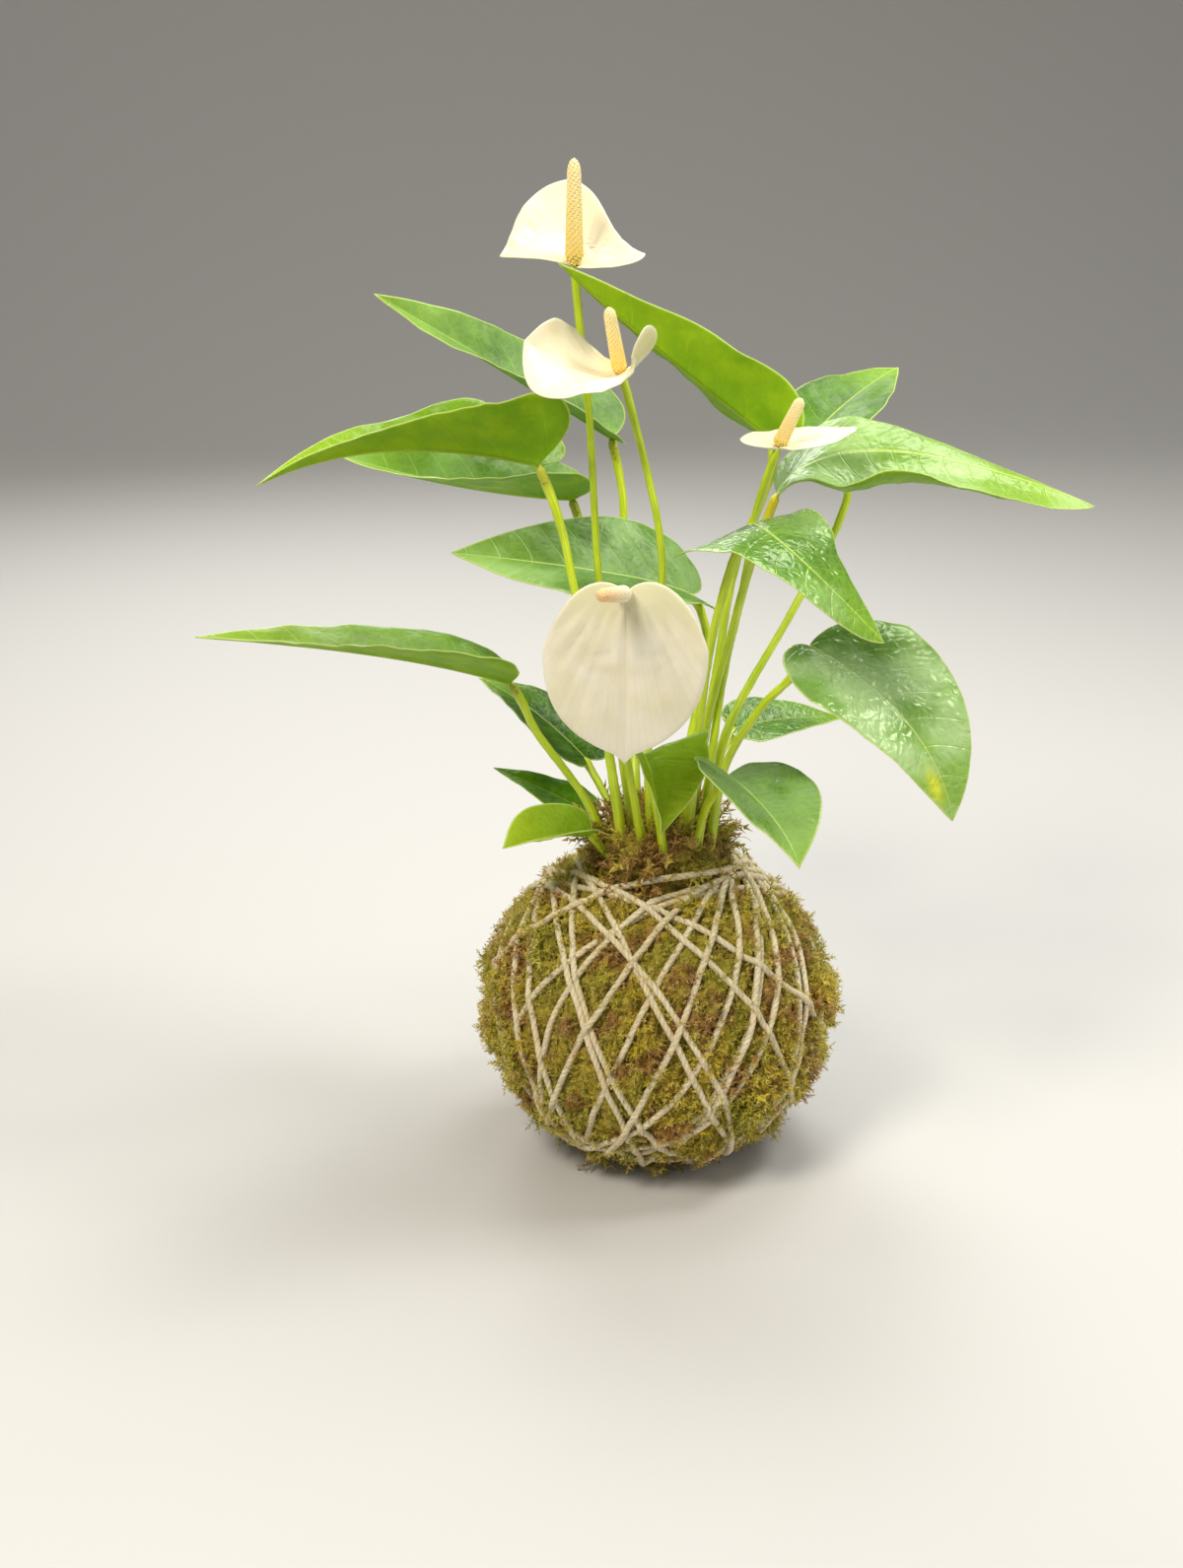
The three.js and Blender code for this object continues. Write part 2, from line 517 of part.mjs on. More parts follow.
// Spadix: a blunt taper whose rings of florets stand in and out by turns.
function makeSpadix(shape) {
  const { tip, root, top } = shape.spadix;
  const end = vector(tip);
  const start = seatOn(shape, end.clone().sub(vector(shape.base)), root, 1);
  const path = [];
  const radii = [];
  for (let i = 0; i <= spadix.rings; i += 1) {
    const share = i / spadix.rings;
    path.push(start.clone().lerp(end, share));
    const nearTip = Math.max(share - spadix.roundStart, 0) / (1 - spadix.roundStart);
    const round = Math.max(Math.sqrt(1 - nearTip ** 2), spadix.tipShare);
    const foot = share === 0 ? spadix.foot : 1;
    radii.push(THREE.MathUtils.lerp(root, top, share) * round * foot);
  }
  const rings = ringsAlong(path, radii, spadix.sides);
  rings.slice(1, -2).forEach((ring, r) => ring.forEach((p, k) => {
    const way = (r + k) % 2 === 0 ? 1 : -1;
    const centre = path[r + 1];
    p.addScaledVector(p.clone().sub(centre).normalize(), way * spadix.floret);
  }));
  return loft(rings);
}

const finish = {
  soil: new THREE.MeshStandardMaterial({ color: 0x3a2a1c, roughness: 1, metalness: 0 }),
  moss: new THREE.MeshStandardMaterial({ color: 0x7d7a2c, roughness: 1, metalness: 0 }),
  neck: new THREE.MeshStandardMaterial({ color: 0x6a4f28, roughness: 1, metalness: 0 }),
  twine: new THREE.MeshStandardMaterial({ color: 0xd0c3a5, roughness: 0.9, metalness: 0 }),
  leaf: new THREE.MeshStandardMaterial({ color: 0x4f8a24, roughness: 0.3, metalness: 0 }),
  stalk: new THREE.MeshStandardMaterial({ color: 0x93a83a, roughness: 0.5, metalness: 0 }),
  spathe: new THREE.MeshStandardMaterial({ color: 0xefe9d2, roughness: 0.45, metalness: 0 }),
  spadix: new THREE.MeshStandardMaterial({ color: 0xe9cf7c, roughness: 0.6, metalness: 0 }),
};

const group = new THREE.Group();

function addPiece(name, geometry, material) {
  const mesh = new THREE.Mesh(geometry, material.clone());
  mesh.name = name;
  group.add(mesh);
}

const leafPieces = leaves.map((leaf) => ({ ...leafShape, ...leaf }));
const flowerPieces = flowers.map((flower) => ({ ...spatheShape, ...flower }));
const holes = [
  ...leafPieces.map((leaf) => stalkHole(leaf, leafStalk)),
  ...flowerPieces.map((flower) => stalkHole(flower, flowerStalk)),
];

addPiece('soil_core', makeSoilCore(), finish.soil);
addPiece('moss_cover', makeMossCover(), finish.moss);
addPiece('neck_moss', makeNeckMoss(holes), finish.neck);
addPiece('twine', makeTwine(), finish.twine);

leafPieces.forEach((leaf, i) => {
  const number = String(i + 1).padStart(2, '0');
  addPiece(`leaf_blade_${number}`, makeBlade(leaf), finish.leaf);
  addPiece(`leaf_stalk_${number}`, makeStalk(leaf, leafStalk), finish.stalk);
});

flowerPieces.forEach((flower, i) => {
  addPiece(`spathe_${i + 1}`, makeBlade(flower), finish.spathe);
  addPiece(`spadix_${i + 1}`, makeSpadix(flower), finish.spadix);
  addPiece(`flower_stalk_${i + 1}`, makeStalk(flower, flowerStalk), finish.stalk);
});

export default group;
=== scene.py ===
# A kokedama plant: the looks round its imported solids. Metres, +Z up, the ball rests on z = 0.
import json
import math
import random

import bmesh
import bpy
import numpy as np
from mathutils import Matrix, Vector, kdtree

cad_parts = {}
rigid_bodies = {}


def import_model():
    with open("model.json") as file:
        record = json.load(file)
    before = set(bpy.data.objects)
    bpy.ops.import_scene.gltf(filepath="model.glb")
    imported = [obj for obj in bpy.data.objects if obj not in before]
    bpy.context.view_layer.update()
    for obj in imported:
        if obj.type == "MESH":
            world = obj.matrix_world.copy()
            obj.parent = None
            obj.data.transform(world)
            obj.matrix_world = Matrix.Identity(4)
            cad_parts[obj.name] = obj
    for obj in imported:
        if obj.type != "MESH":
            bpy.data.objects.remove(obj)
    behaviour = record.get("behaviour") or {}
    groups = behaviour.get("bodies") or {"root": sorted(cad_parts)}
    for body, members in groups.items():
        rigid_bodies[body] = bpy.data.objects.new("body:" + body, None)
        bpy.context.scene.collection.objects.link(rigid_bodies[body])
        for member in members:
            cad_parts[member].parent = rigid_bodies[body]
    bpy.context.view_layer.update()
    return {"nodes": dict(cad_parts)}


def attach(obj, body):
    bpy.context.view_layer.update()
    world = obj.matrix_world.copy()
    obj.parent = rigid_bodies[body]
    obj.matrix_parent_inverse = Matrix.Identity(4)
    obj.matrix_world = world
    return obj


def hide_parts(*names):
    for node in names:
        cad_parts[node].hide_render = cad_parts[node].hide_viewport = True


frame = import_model()
print("frame loaded:", len(frame["nodes"]), "nodes")


# camera, floor and light

camera = {
    "place": (-0.0244, -0.6556, 0.3777),
    "lookDown": 20,
    "focalPixels": 2000,    # on a picture 1591 pixels high
    "framePixels": 1591,
    "sensor": 36,
}
studio = {
    "sky": 0.95,
    "skyStrength": 0.26,
    # place, target, size, watts, colour
    "lamps": {
        "keyLamp": ((-0.55, -0.75, 1.15), (0, 0, 0.15), 0.45, 14, (1, 0.93, 0.82)),
        "fillLamp": ((0.95, -0.55, 0.65), (0, 0, 0.15), 0.9, 2.5, (1, 0.97, 0.92)),
        "topLamp": ((0.2, 0.38, 1.25), (0, 0, 0.2), 0.6, 8, (1, 1, 1)),
        "sparkLamp": ((0.64, -0.02, 1.1), (0.06, -0.04, 0.18), 0.34, 6, (1, 1, 1)),
        "rearLamp": ((-0.3, 0.95, 0.75), (0, 0, 0.22), 0.6, 5, (1, 1, 1)),
    },
}


def colour(code):
    channels = [int(code[i:i + 2], 16) / 255 for i in (1, 3, 5)]
    linear = [c / 12.92 if c <= 0.04045 else ((c + 0.055) / 1.055) ** 2.4 for c in channels]
    return (*linear, 1.0)


def link(item):
    bpy.context.scene.collection.objects.link(item)
    return item


def aim(item, target):
    direction = Vector(target) - item.location
    item.rotation_euler = direction.to_track_quat("-Z", "Y").to_euler()


def makeCamera():
    lens = bpy.data.cameras.new("photoCamera")
    lens.sensor_width = camera["sensor"]
    lens.lens = camera["focalPixels"] * camera["sensor"] / camera["framePixels"]
    lens.clip_start = 0.01
    item = link(bpy.data.objects.new("photoCamera", lens))
    item.location = camera["place"]
    item.rotation_euler = (math.radians(90 - camera["lookDown"]), 0, 0)
    bpy.context.scene.camera = item


def makeLamps():
    for name, (place, target, size, watts, tint) in studio["lamps"].items():
        lamp = bpy.data.lights.new(name, "AREA")
        lamp.shape = "DISK"
        lamp.size = size
        lamp.energy = watts
        lamp.color = tint
        item = link(bpy.data.objects.new(name, lamp))
        item.location = place
        aim(item, target)
    world = bpy.data.worlds.new("paleRoom")
    world.use_nodes = True
    background = world.node_tree.nodes["Background"]
    background.inputs["Color"].default_value = (studio["sky"], studio["sky"], studio["sky"], 1)
    background.inputs["Strength"].default_value = studio["skyStrength"]
    bpy.context.scene.world = world
    bpy.context.scene.view_settings.view_transform = "Standard"


# node helpers

class Wire:
    # a value that runs through a node tree
    def __init__(self, tree, socket):
        self.tree, self.socket = tree, socket

    def also(self, name):
        # another output of the same node
        return Wire(self.tree, self.socket.node.outputs[name])

    def __add__(self, other):
        return maths("ADD", self, other)

    def __sub__(self, other):
        return maths("SUBTRACT", self, other)

    def __mul__(self, other):
        return maths("MULTIPLY", self, other)


def feed(socket, value):
    if isinstance(value, Wire):
        value.tree.links.new(value.socket, socket)
    elif socket.type == "RGBA" and isinstance(value, str):
        socket.default_value = colour(value)
    else:
        socket.default_value = value


def addNode(tree, kind, inputs=None, output=0, **settings):
    node = tree.nodes.new(kind)
    for name, value in settings.items():
        setattr(node, name, value)
    for name, value in (inputs or {}).items():
        feed(node.inputs[name], value)
    return Wire(tree, node.outputs[output])


def maths(operation, *values, kind="ShaderNodeMath", **settings):
    tree = next(value.tree for value in values if isinstance(value, Wire))
    return addNode(tree, kind, dict(enumerate(values)), operation=operation, **settings)


def vectorMaths(operation, *values):
    return maths(operation, *values, kind="ShaderNodeVectorMath")


def combine(x, y, z):
    return addNode(x.tree, "ShaderNodeCombineXYZ", {0: x, 1: y, 2: z})


def between(value, low, high, start=0.0, end=1.0):
    return addNode(value.tree, "ShaderNodeMapRange", {
        "Value": value, "From Min": low, "From Max": high, "To Min": start, "To Max": end,
    }, interpolation_type="SMOOTHSTEP")


def blend(share, first, second):
    return addNode(share.tree, "ShaderNodeMix", {0: share, 6: first, 7: second}, 2, data_type="RGBA")


def coated(base, *coats):
    # a colour with further ones laid over it, each by its share
    for share, coat in coats:
        base = blend(share, base, coat)
    return base


def layers(place, names):
    return [addNode(place.tree, "ShaderNodeAttribute", output="Fac", attribute_name=name)
            for name in names.split()]


def noise(place, scale, detail):
    return addNode(place.tree, "ShaderNodeTexNoise", {
        "Vector": place, "Scale": scale, "Detail": detail}, "Fac")


def makeGroup(name, *inputs):
    # a shader group with these inputs that gives one mask
    group = bpy.data.node_groups.new(name, "ShaderNodeTree")
    for socketName, kind in inputs:
        group.interface.new_socket(socketName, in_out="INPUT", socket_type="NodeSocket" + kind)
    group.interface.new_socket("Mask", in_out="OUTPUT", socket_type="NodeSocketFloat")
    source = group.nodes.new("NodeGroupInput").outputs
    sink = group.nodes.new("NodeGroupOutput").inputs["Mask"]
    return group, {socketName: Wire(group, source[socketName]) for socketName, _ in inputs}, sink


def makeMottle():
    # soft patches from 0 to 1
    group, given, mask = makeGroup("mottle", ("Place", "Vector"), ("Scale", "Float"),
                                   ("Low", "Float"), ("High", "Float"))
    feed(mask, between(noise(given["Place"], given["Scale"], 3.0), given["Low"], given["High"]))
    return group


def makeStreaks():
    # fine lines drawn out along the stretched axis
    group, given, mask = makeGroup("streaks", ("Place", "Vector"), ("Across", "Float"),
                                   ("Along", "Float"))
    size = combine(given["Across"], given["Across"], given["Along"])
    feed(mask, between(noise(vectorMaths("MULTIPLY", given["Place"], size), 1.0, 2.0), 0.3, 0.7))
    return group


groups = {"mottle": makeMottle(), "streaks": makeStreaks()}


def mottle(place, scale, low, high):
    return addNode(place.tree, "ShaderNodeGroup", {
        "Place": place, "Scale": scale, "Low": low, "High": high}, node_tree=groups["mottle"])


def streaks(place, across, along):
    return addNode(place.tree, "ShaderNodeGroup", {
        "Place": place, "Across": across, "Along": along}, node_tree=groups["streaks"])


def bump(height, distance, strength):
    return addNode(height.tree, "ShaderNodeBump", {
        "Height": height, "Distance": distance, "Strength": strength})


def startMaterial(name):
    # a material and the place on the object that its nodes start from
    material = bpy.data.materials.new(name)
    material.use_nodes = True
    return material, addNode(material.node_tree, "ShaderNodeTexCoord", output="Object")


def finish(material, **looks):
    skin = material.node_tree.nodes["Principled BSDF"].inputs
    for socketName, value in looks.items():
        feed(skin[socketName.replace("_", " ")], value)
    return material


# meshes

def tidyMesh(mesh):
    # drops loose points and turns every face outward
    shape = bmesh.new()
    shape.from_mesh(mesh)
    bmesh.ops.delete(shape, geom=[v for v in shape.verts if not v.link_faces], context="VERTS")
    bmesh.ops.recalc_face_normals(shape, faces=shape.faces)
    shape.to_mesh(mesh)
    shape.free()
    return mesh


def meshFrom(points, faces, edges=(), smooth=True, closed=True, **values):
    # a mesh with named values, each of them one for all its points or one for each
    mesh = bpy.data.meshes.new("piece")
    mesh.from_pydata([tuple(p) for p in points], edges, faces)
    for key, numbers in values.items():
        layer = mesh.attributes.new(key, "FLOAT", "POINT")
        numbers = np.broadcast_to(np.asarray(numbers, np.float32), len(points))
        layer.data.foreach_set("value", np.array(numbers))
    mesh.polygons.foreach_set("use_smooth", [smooth] * len(mesh.polygons))
    mesh.update()
    return tidyMesh(mesh) if closed else mesh


def addPiece(name, mesh, material, slot, node):
    mesh.name = name
    item = link(bpy.data.objects.new(name, mesh))
    mesh.materials.clear()
    mesh.materials.append(material)
    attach(item, "root")
    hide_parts(node)


def unit(v):
    v = np.asarray(v, float)
    return v / np.maximum(np.linalg.norm(v, axis=-1, keepdims=True), 1e-12)


def ease(value, low, high):
    t = np.clip((np.asarray(value, float) - low) / (high - low), 0, 1)
    return t * t * (3 - 2 * t)


def makeRough(seed, count):
    # smooth random field over space, from about -1 to 1, made of waves
    rng = np.random.default_rng(seed)
    ways = unit(rng.normal(size=(count, 3))) * rng.uniform(0.6, 1.6, (count, 1))
    starts = rng.uniform(0, 2 * np.pi, count)
    sizes = np.linalg.norm(ways, axis=1) ** -1.0
    total = math.sqrt((sizes ** 2).sum() / 2)

    def field(points, wavelength):
        angle = np.asarray(points) @ ways.T * (2 * np.pi / wavelength) + starts
        return (np.sin(angle) * sizes).sum(-1) / total / 1.6
    return field


rough = makeRough(3, 24)


def reachAlong(line):
    # how far along a line each of its points lies
    return np.concatenate([[0], np.cumsum(np.linalg.norm(np.diff(line, axis=0), axis=1))])


def curveThrough(knots, count, spread=400):
    # uniform Catmull-Rom curve through the knots, sampled at even lengths
    knots = np.asarray(knots, float)
    ends = [2 * knots[0] - knots[1], *knots, 2 * knots[-1] - knots[-2]]
    line = []
    for i in range(1, len(ends) - 2):
        a, b, c, d = ends[i - 1:i + 3]
        t = np.linspace(0, 1, spread // len(knots), endpoint=False)[:, None]
        line.append(0.5 * (2 * b + (c - a) * t + (2 * a - 5 * b + 4 * c - d) * t ** 2
                           + (3 * b - a - 3 * c + d) * t ** 3))
    line = np.vstack([*line, knots[-1:]])
    reach = reachAlong(line)
    wanted = np.linspace(0, reach[-1], count)
    return np.stack([np.interp(wanted, reach, line[:, k]) for k in range(3)], axis=1)


def sidesAlong(path):
    # two directions across the path at each point, carried along without twist
    ahead = unit(np.gradient(path, axis=0))
    side = np.array([1.0, 0, 0]) if abs(ahead[0][2]) > 0.9 else np.array([0, 0, 1.0])
    first = []
    for way in ahead:
        side = unit(side - way * (side @ way))
        first.append(side)
    first = np.array(first)
    return first, np.cross(ahead, first)


def ringFaces(rows, sides):
    # faces round stacked rings and over their ends, which meet in two further points
    faces, count = [], rows * sides
    for r in range(rows - 1):
        for k in range(sides):
            a, b = r * sides + k, r * sides + (k + 1) % sides
            faces.append((a, b, b + sides, a + sides))
    for k in range(sides):
        after = (k + 1) % sides
        faces.append((count, after, k))
        faces.append((count + 1, count - sides + k, count - sides + after))
    return faces


def spokesOf(path, sides):
    # the angles round a path and, at each of its points, the directions that they stand for
    first, second = sidesAlong(path)
    turn = np.linspace(0, 2 * np.pi, sides, endpoint=False)
    return turn, (first[:, None] * np.cos(turn)[None, :, None]
                  + second[:, None] * np.sin(turn)[None, :, None])


def tubeAlong(path, radii, sides, dents=1):
    # closed tube with capped ends
    size = (np.asarray(radii)[:, None] * dents)[..., None]
    points = path[:, None] + size * spokesOf(path, sides)[1]
    return np.vstack([points.reshape(-1, 3), path[:1], path[-1:]]), ringFaces(len(path), sides)


# leaves and spathes

bladeForm = {
    "rows": 60, "columns": 15, "rowSpread": 1.3, "lobeShare": 0.4, "liftReach": 0.45,
    "rimWidth": 0.0022, "quiltMargin": 0.004, "puckerWaves": (0.021, 0.009),
    "groove": 0.00022, "grooveWidth": 0.045, "ribWidth": 0.06, "nibWidth": 0.0016, "bulge": 0.4,
}
leafForm = {
    "width": 0.044, "lobe": 0.008, "belly": 0.2, "shoulder": 0.3,
    "point": 0.16, "square": 0.5, "corner": 0.2, "flare": 1,
    "fold": 10, "curl": 0, "lift": 0,
    "wave": 0, "waves": 2, "phase": 0,
    "thick": 0.0006, "rim": 0.00036, "rib": 0.0009, "crease": 0.035, "quilt": 0.00025,
    "sideVeins": 7.5, "lobeVeins": 4.5, "pucker": 0.00045, "tone": 0, "sheen": 0, "pale": 0,
    "crinkle": 0.4, "spot": (0.5, 0, 0.1, 0), "joint": 0.2, "warm": 0.1,
}
spatheForm = {
    **leafForm, "width": 0.05, "lobe": 0.005, "belly": 0.33,
    "shoulder": 0.55, "point": 0.34, "fold": 4,
    "thick": 0.0007, "rim": 0.0004, "rib": 0.0006, "crease": 0.02, "quilt": 0.0,
    "pucker": 0.0003, "joint": 0, "warm": 0,
}

# base is where the stalk meets the blade, bend steers the midrib, face is where the upper
# side looks at the base and at the tip. Pairs are the left and the right half.
leafTable = [
    dict(base=(0.0365, -0.001, 0.261), bend=(0.001, -0.003, 0.288), tip=(-0.035, -0.008, 0.319),
         face=((0.3, 0.8, 0.75), (0.35, 0.75, 0.6)), width=(0.036, 0.042), lobe=(0.007, 0.002),
         shoulder=0.18, fold=36, wave=0.0014, waves=2.2, phase=0.1,
         stalk=((0.01, 0.003, 0.118), (0.018, 0.002, 0.173), (0.024, -0.002, 0.217),
                (0.031, -0.005, 0.238), (0.035, -0.006, 0.251))),
    dict(base=(-0.017, 0.07, 0.25), bend=(-0.058, 0.078, 0.274), tip=(-0.101, 0.0555, 0.3025),
         face=((-0.23, -0.09, 0.97), (0.93, -0.33, 0.15)), width=0.042,
         lobe=(0.0085, 0.0025), belly=(0.19, 0.18), shoulder=(0.32, 0.31), fold=(28, 25),
         stalk=((-0.008, 0.007, 0.118), (-0.009, 0.026, 0.151), (-0.01, 0.044, 0.179),
                (-0.012, 0.062, 0.208), (-0.013, 0.068, 0.229))),
    dict(base=(-0.042, -0.005, 0.254), bend=(-0.097, -0.0005, 0.266), tip=(-0.133, -0.022, 0.25),
         face=((-0.18, 0.29, 0.94), (-0.17, -0.07, 0.98)), width=(0.055, 0.045),
         lobe=(0.0105, 0.01), shoulder=(0.18, 0.13), flare=(0.35, 1.1), corner=(0.8, 0.2),
         square=(0.6, 0.5), point=(0.14, 0.07), fold=(36, 35), curl=(7, 20), wave=0.0028, waves=2.2,
         phase=0.34,
         stalk=((-0.013, -0.008, 0.118), (-0.021, -0.014, 0.171), (-0.03, -0.014, 0.213),
                (-0.035, -0.008, 0.235))),
    dict(base=(-0.032, 0.066, 0.228), bend=(-0.074, 0.061, 0.231), tip=(-0.115, 0.056, 0.245),
         face=((0, 0.12, 0.98), (0.1, -0.5, 0.85)), width=0.05, lobe=0.009,
         fold=30,
         stalk=((-0.014, 0.004, 0.118), (-0.019, 0.02, 0.153), (-0.024, 0.04, 0.184),
                (-0.027, 0.06, 0.209), (-0.029, 0.065, 0.219))),
    dict(base=(0.011, 0.036, 0.199), bend=(-0.003, 0.0305, 0.208), tip=(-0.074, 0.028, 0.216),
         face=((0.21, -0.36, 0.91), (-0.1, -0.66, 0.74)), width=(0.0555, 0.052),
         lobe=0.009, belly=(0.34, 0.26), shoulder=(0.33, 0.29), fold=(28, 8),
         stalk=((0.004, 0.009, 0.118), (0.012, 0.02, 0.153), (0.017, 0.029, 0.18),
                (0.015, 0.034, 0.193))),
    dict(base=(-0.052, -0.01, 0.18), bend=(-0.089, -0.0085, 0.1915), tip=(-0.16, -0.004, 0.194),
         face=((-0.2, 0.21, 0.96), (0, -0.09, 1)), width=(0.048, 0.043), lobe=(0.003, 0.001),
         belly=0.21, shoulder=(0.21, 0.23), corner=(0.45, 0.21), square=(0.76, 0.53),
         fold=(21, 16), curl=(-3, 6),
         stalk=((-0.02, -0.002, 0.118), (-0.027, -0.002, 0.135), (-0.043, -0.007, 0.16),
                (-0.048, -0.01, 0.172))),
    dict(base=(-0.027, 0.032, 0.138), bend=(-0.047, 0.046, 0.155), tip=(-0.067, 0.06, 0.16),
         face=((0.4, -0.3, 0.85), (0.4, -0.3, 0.85)), width=0.034, lobe=0.006,
         fold=15, stalk=((-0.015, 0.011, 0.118), (-0.019, 0.019, 0.127))),
    dict(base=(-0.025, 0.026, 0.118), bend=(-0.043, 0.033, 0.126), tip=(-0.061, 0.04, 0.131),
         face=((0.3, -0.3, 0.9), (0.3, -0.3, 0.9)), width=0.02, lobe=0.003,
         stalk=((-0.02, 0.005, 0.114), (-0.023, 0.016, 0.113))),
    dict(base=(-0.025, -0.014, 0.126), bend=(-0.039, -0.02, 0.129), tip=(-0.055, -0.026, 0.125),
         face=((0, 0, 1), (0, -0.1, 1)), width=0.024, lobe=0.002,
         belly=0.5, shoulder=0.6, fold=(25, 50), stalk=((-0.019, -0.01, 0.116),)),
    dict(base=(-0.007, -0.034, 0.162), bend=(-0.0045, -0.042, 0.161), tip=(-0.001, -0.046, 0.138),
         face=((0.49, -0.79, 0.37), (0.76, -0.5, 0.42)), width=(0.0425, 0.0415),
         lobe=(0.0015, 0.004), belly=(0.14, 0.22), shoulder=(0.34, 0.2), square=(0.72, 0.5),
         point=0.15, fold=42,
         stalk=((0.001, -0.018, 0.118), (-0.003, -0.026, 0.144))),
    dict(base=(0.021, -0.0435, 0.158), bend=(0.038, -0.0695, 0.1515), tip=(0.0415, -0.077, 0.1385),
         face=((0.68, -0.67, 0.29), (0.28, -0.77, 0.57)), width=(0.04, 0.0415), lobe=(0.0035, 0.01),
         belly=(0.18, 0.12), shoulder=(0.54, 0.38), flare=(1.28, 0.92), corner=(0.22, 0.17),
         square=(0.47, 0.3), point=(0.14, 0.08), fold=(21, 18), lift=(0.0035, -0.004),
         stalk=((0.012, -0.015, 0.118), (0.015, -0.021, 0.138))),
    dict(base=(0.049, -0.018, 0.195), bend=(0.087, -0.051, 0.181), tip=(0.094, -0.052, 0.145),
         face=((0.16, -0.56, 0.81), (0.28, -0.83, 0.48)), width=(0.057, 0.0435),
         lobe=(0.002, 0.006), belly=0.23, shoulder=(0.5, 0.39), flare=(0.91, 0.83),
         corner=(0.1, 0.04), square=(0.36, 0.44), point=(0.18, 0.22), fold=(5, 6),
         stalk=((0.017, -0.01, 0.118), (0.022, -0.012, 0.15), (0.033, -0.016, 0.172),
                (0.043, -0.018, 0.184))),
    dict(base=(0.028, -0.028, 0.239), bend=(0.032, -0.074, 0.2465), tip=(0.067, -0.062, 0.2085),
         face=((-0.41, 0.11, 0.9), (0.68, -0.58, 0.44)), width=(0.037, 0.057), lobe=(0, 0.006),
         belly=(0.26, 0.02), shoulder=(0.36, 0.31), flare=(1.21, 0.4), corner=(0.15, 0.05),
         square=(0.49, 0.33), point=(0.16, 0.24), fold=-6, curl=(10, 16),
         stalk=((0.009, -0.009, 0.118), (0.014, -0.016, 0.182), (0.019, -0.024, 0.215),
                (0.024, -0.028, 0.232))),
    dict(base=(0.038, 0.004, 0.242), bend=(0.056, 0.008, 0.273), tip=(0.1395, -0.0215, 0.243),
         face=((-0.99, 0.1, -0.11), (0.77, -0.34, 0.54)), width=(0.0545, 0.067), lobe=0,
         belly=(0.15, 0.2), shoulder=0.08, flare=(0.35, 1.3), corner=(0.69, 0),
         square=(0.7, 0.25), point=(0.06, 0.37), fold=(-2, -23), curl=(3, 89), wave=0.0035,
         waves=1.78, phase=1.27,
         stalk=((0.015, -0.002, 0.118), (0.021, 0.006, 0.172), (0.029, 0.008, 0.211),
                (0.035, 0.005, 0.232))),
    dict(base=(0.055, 0.05, 0.254), bend=(0.072, 0.066, 0.268), tip=(0.089, 0.082, 0.273),
         face=((-0.3, -0.3, 0.9), (-0.2, -0.3, 0.9)), lobe=0.007, fold=12,
         stalk=((0.018, 0.004, 0.118), (0.024, 0.014, 0.154), (0.047, 0.034, 0.191),
                (0.064, 0.047, 0.22), (0.068, 0.052, 0.238))),
    dict(base=(0.03, 0.052, 0.143), bend=(0.051, 0.059, 0.146), tip=(0.072, 0.066, 0.142),
         face=((0, -0.35, 0.9), (0, -0.3, 0.9)), width=0.026, lobe=0.004,
         stalk=((0.011, 0.012, 0.118), (0.018, 0.026, 0.128), (0.024, 0.041, 0.136))),
]

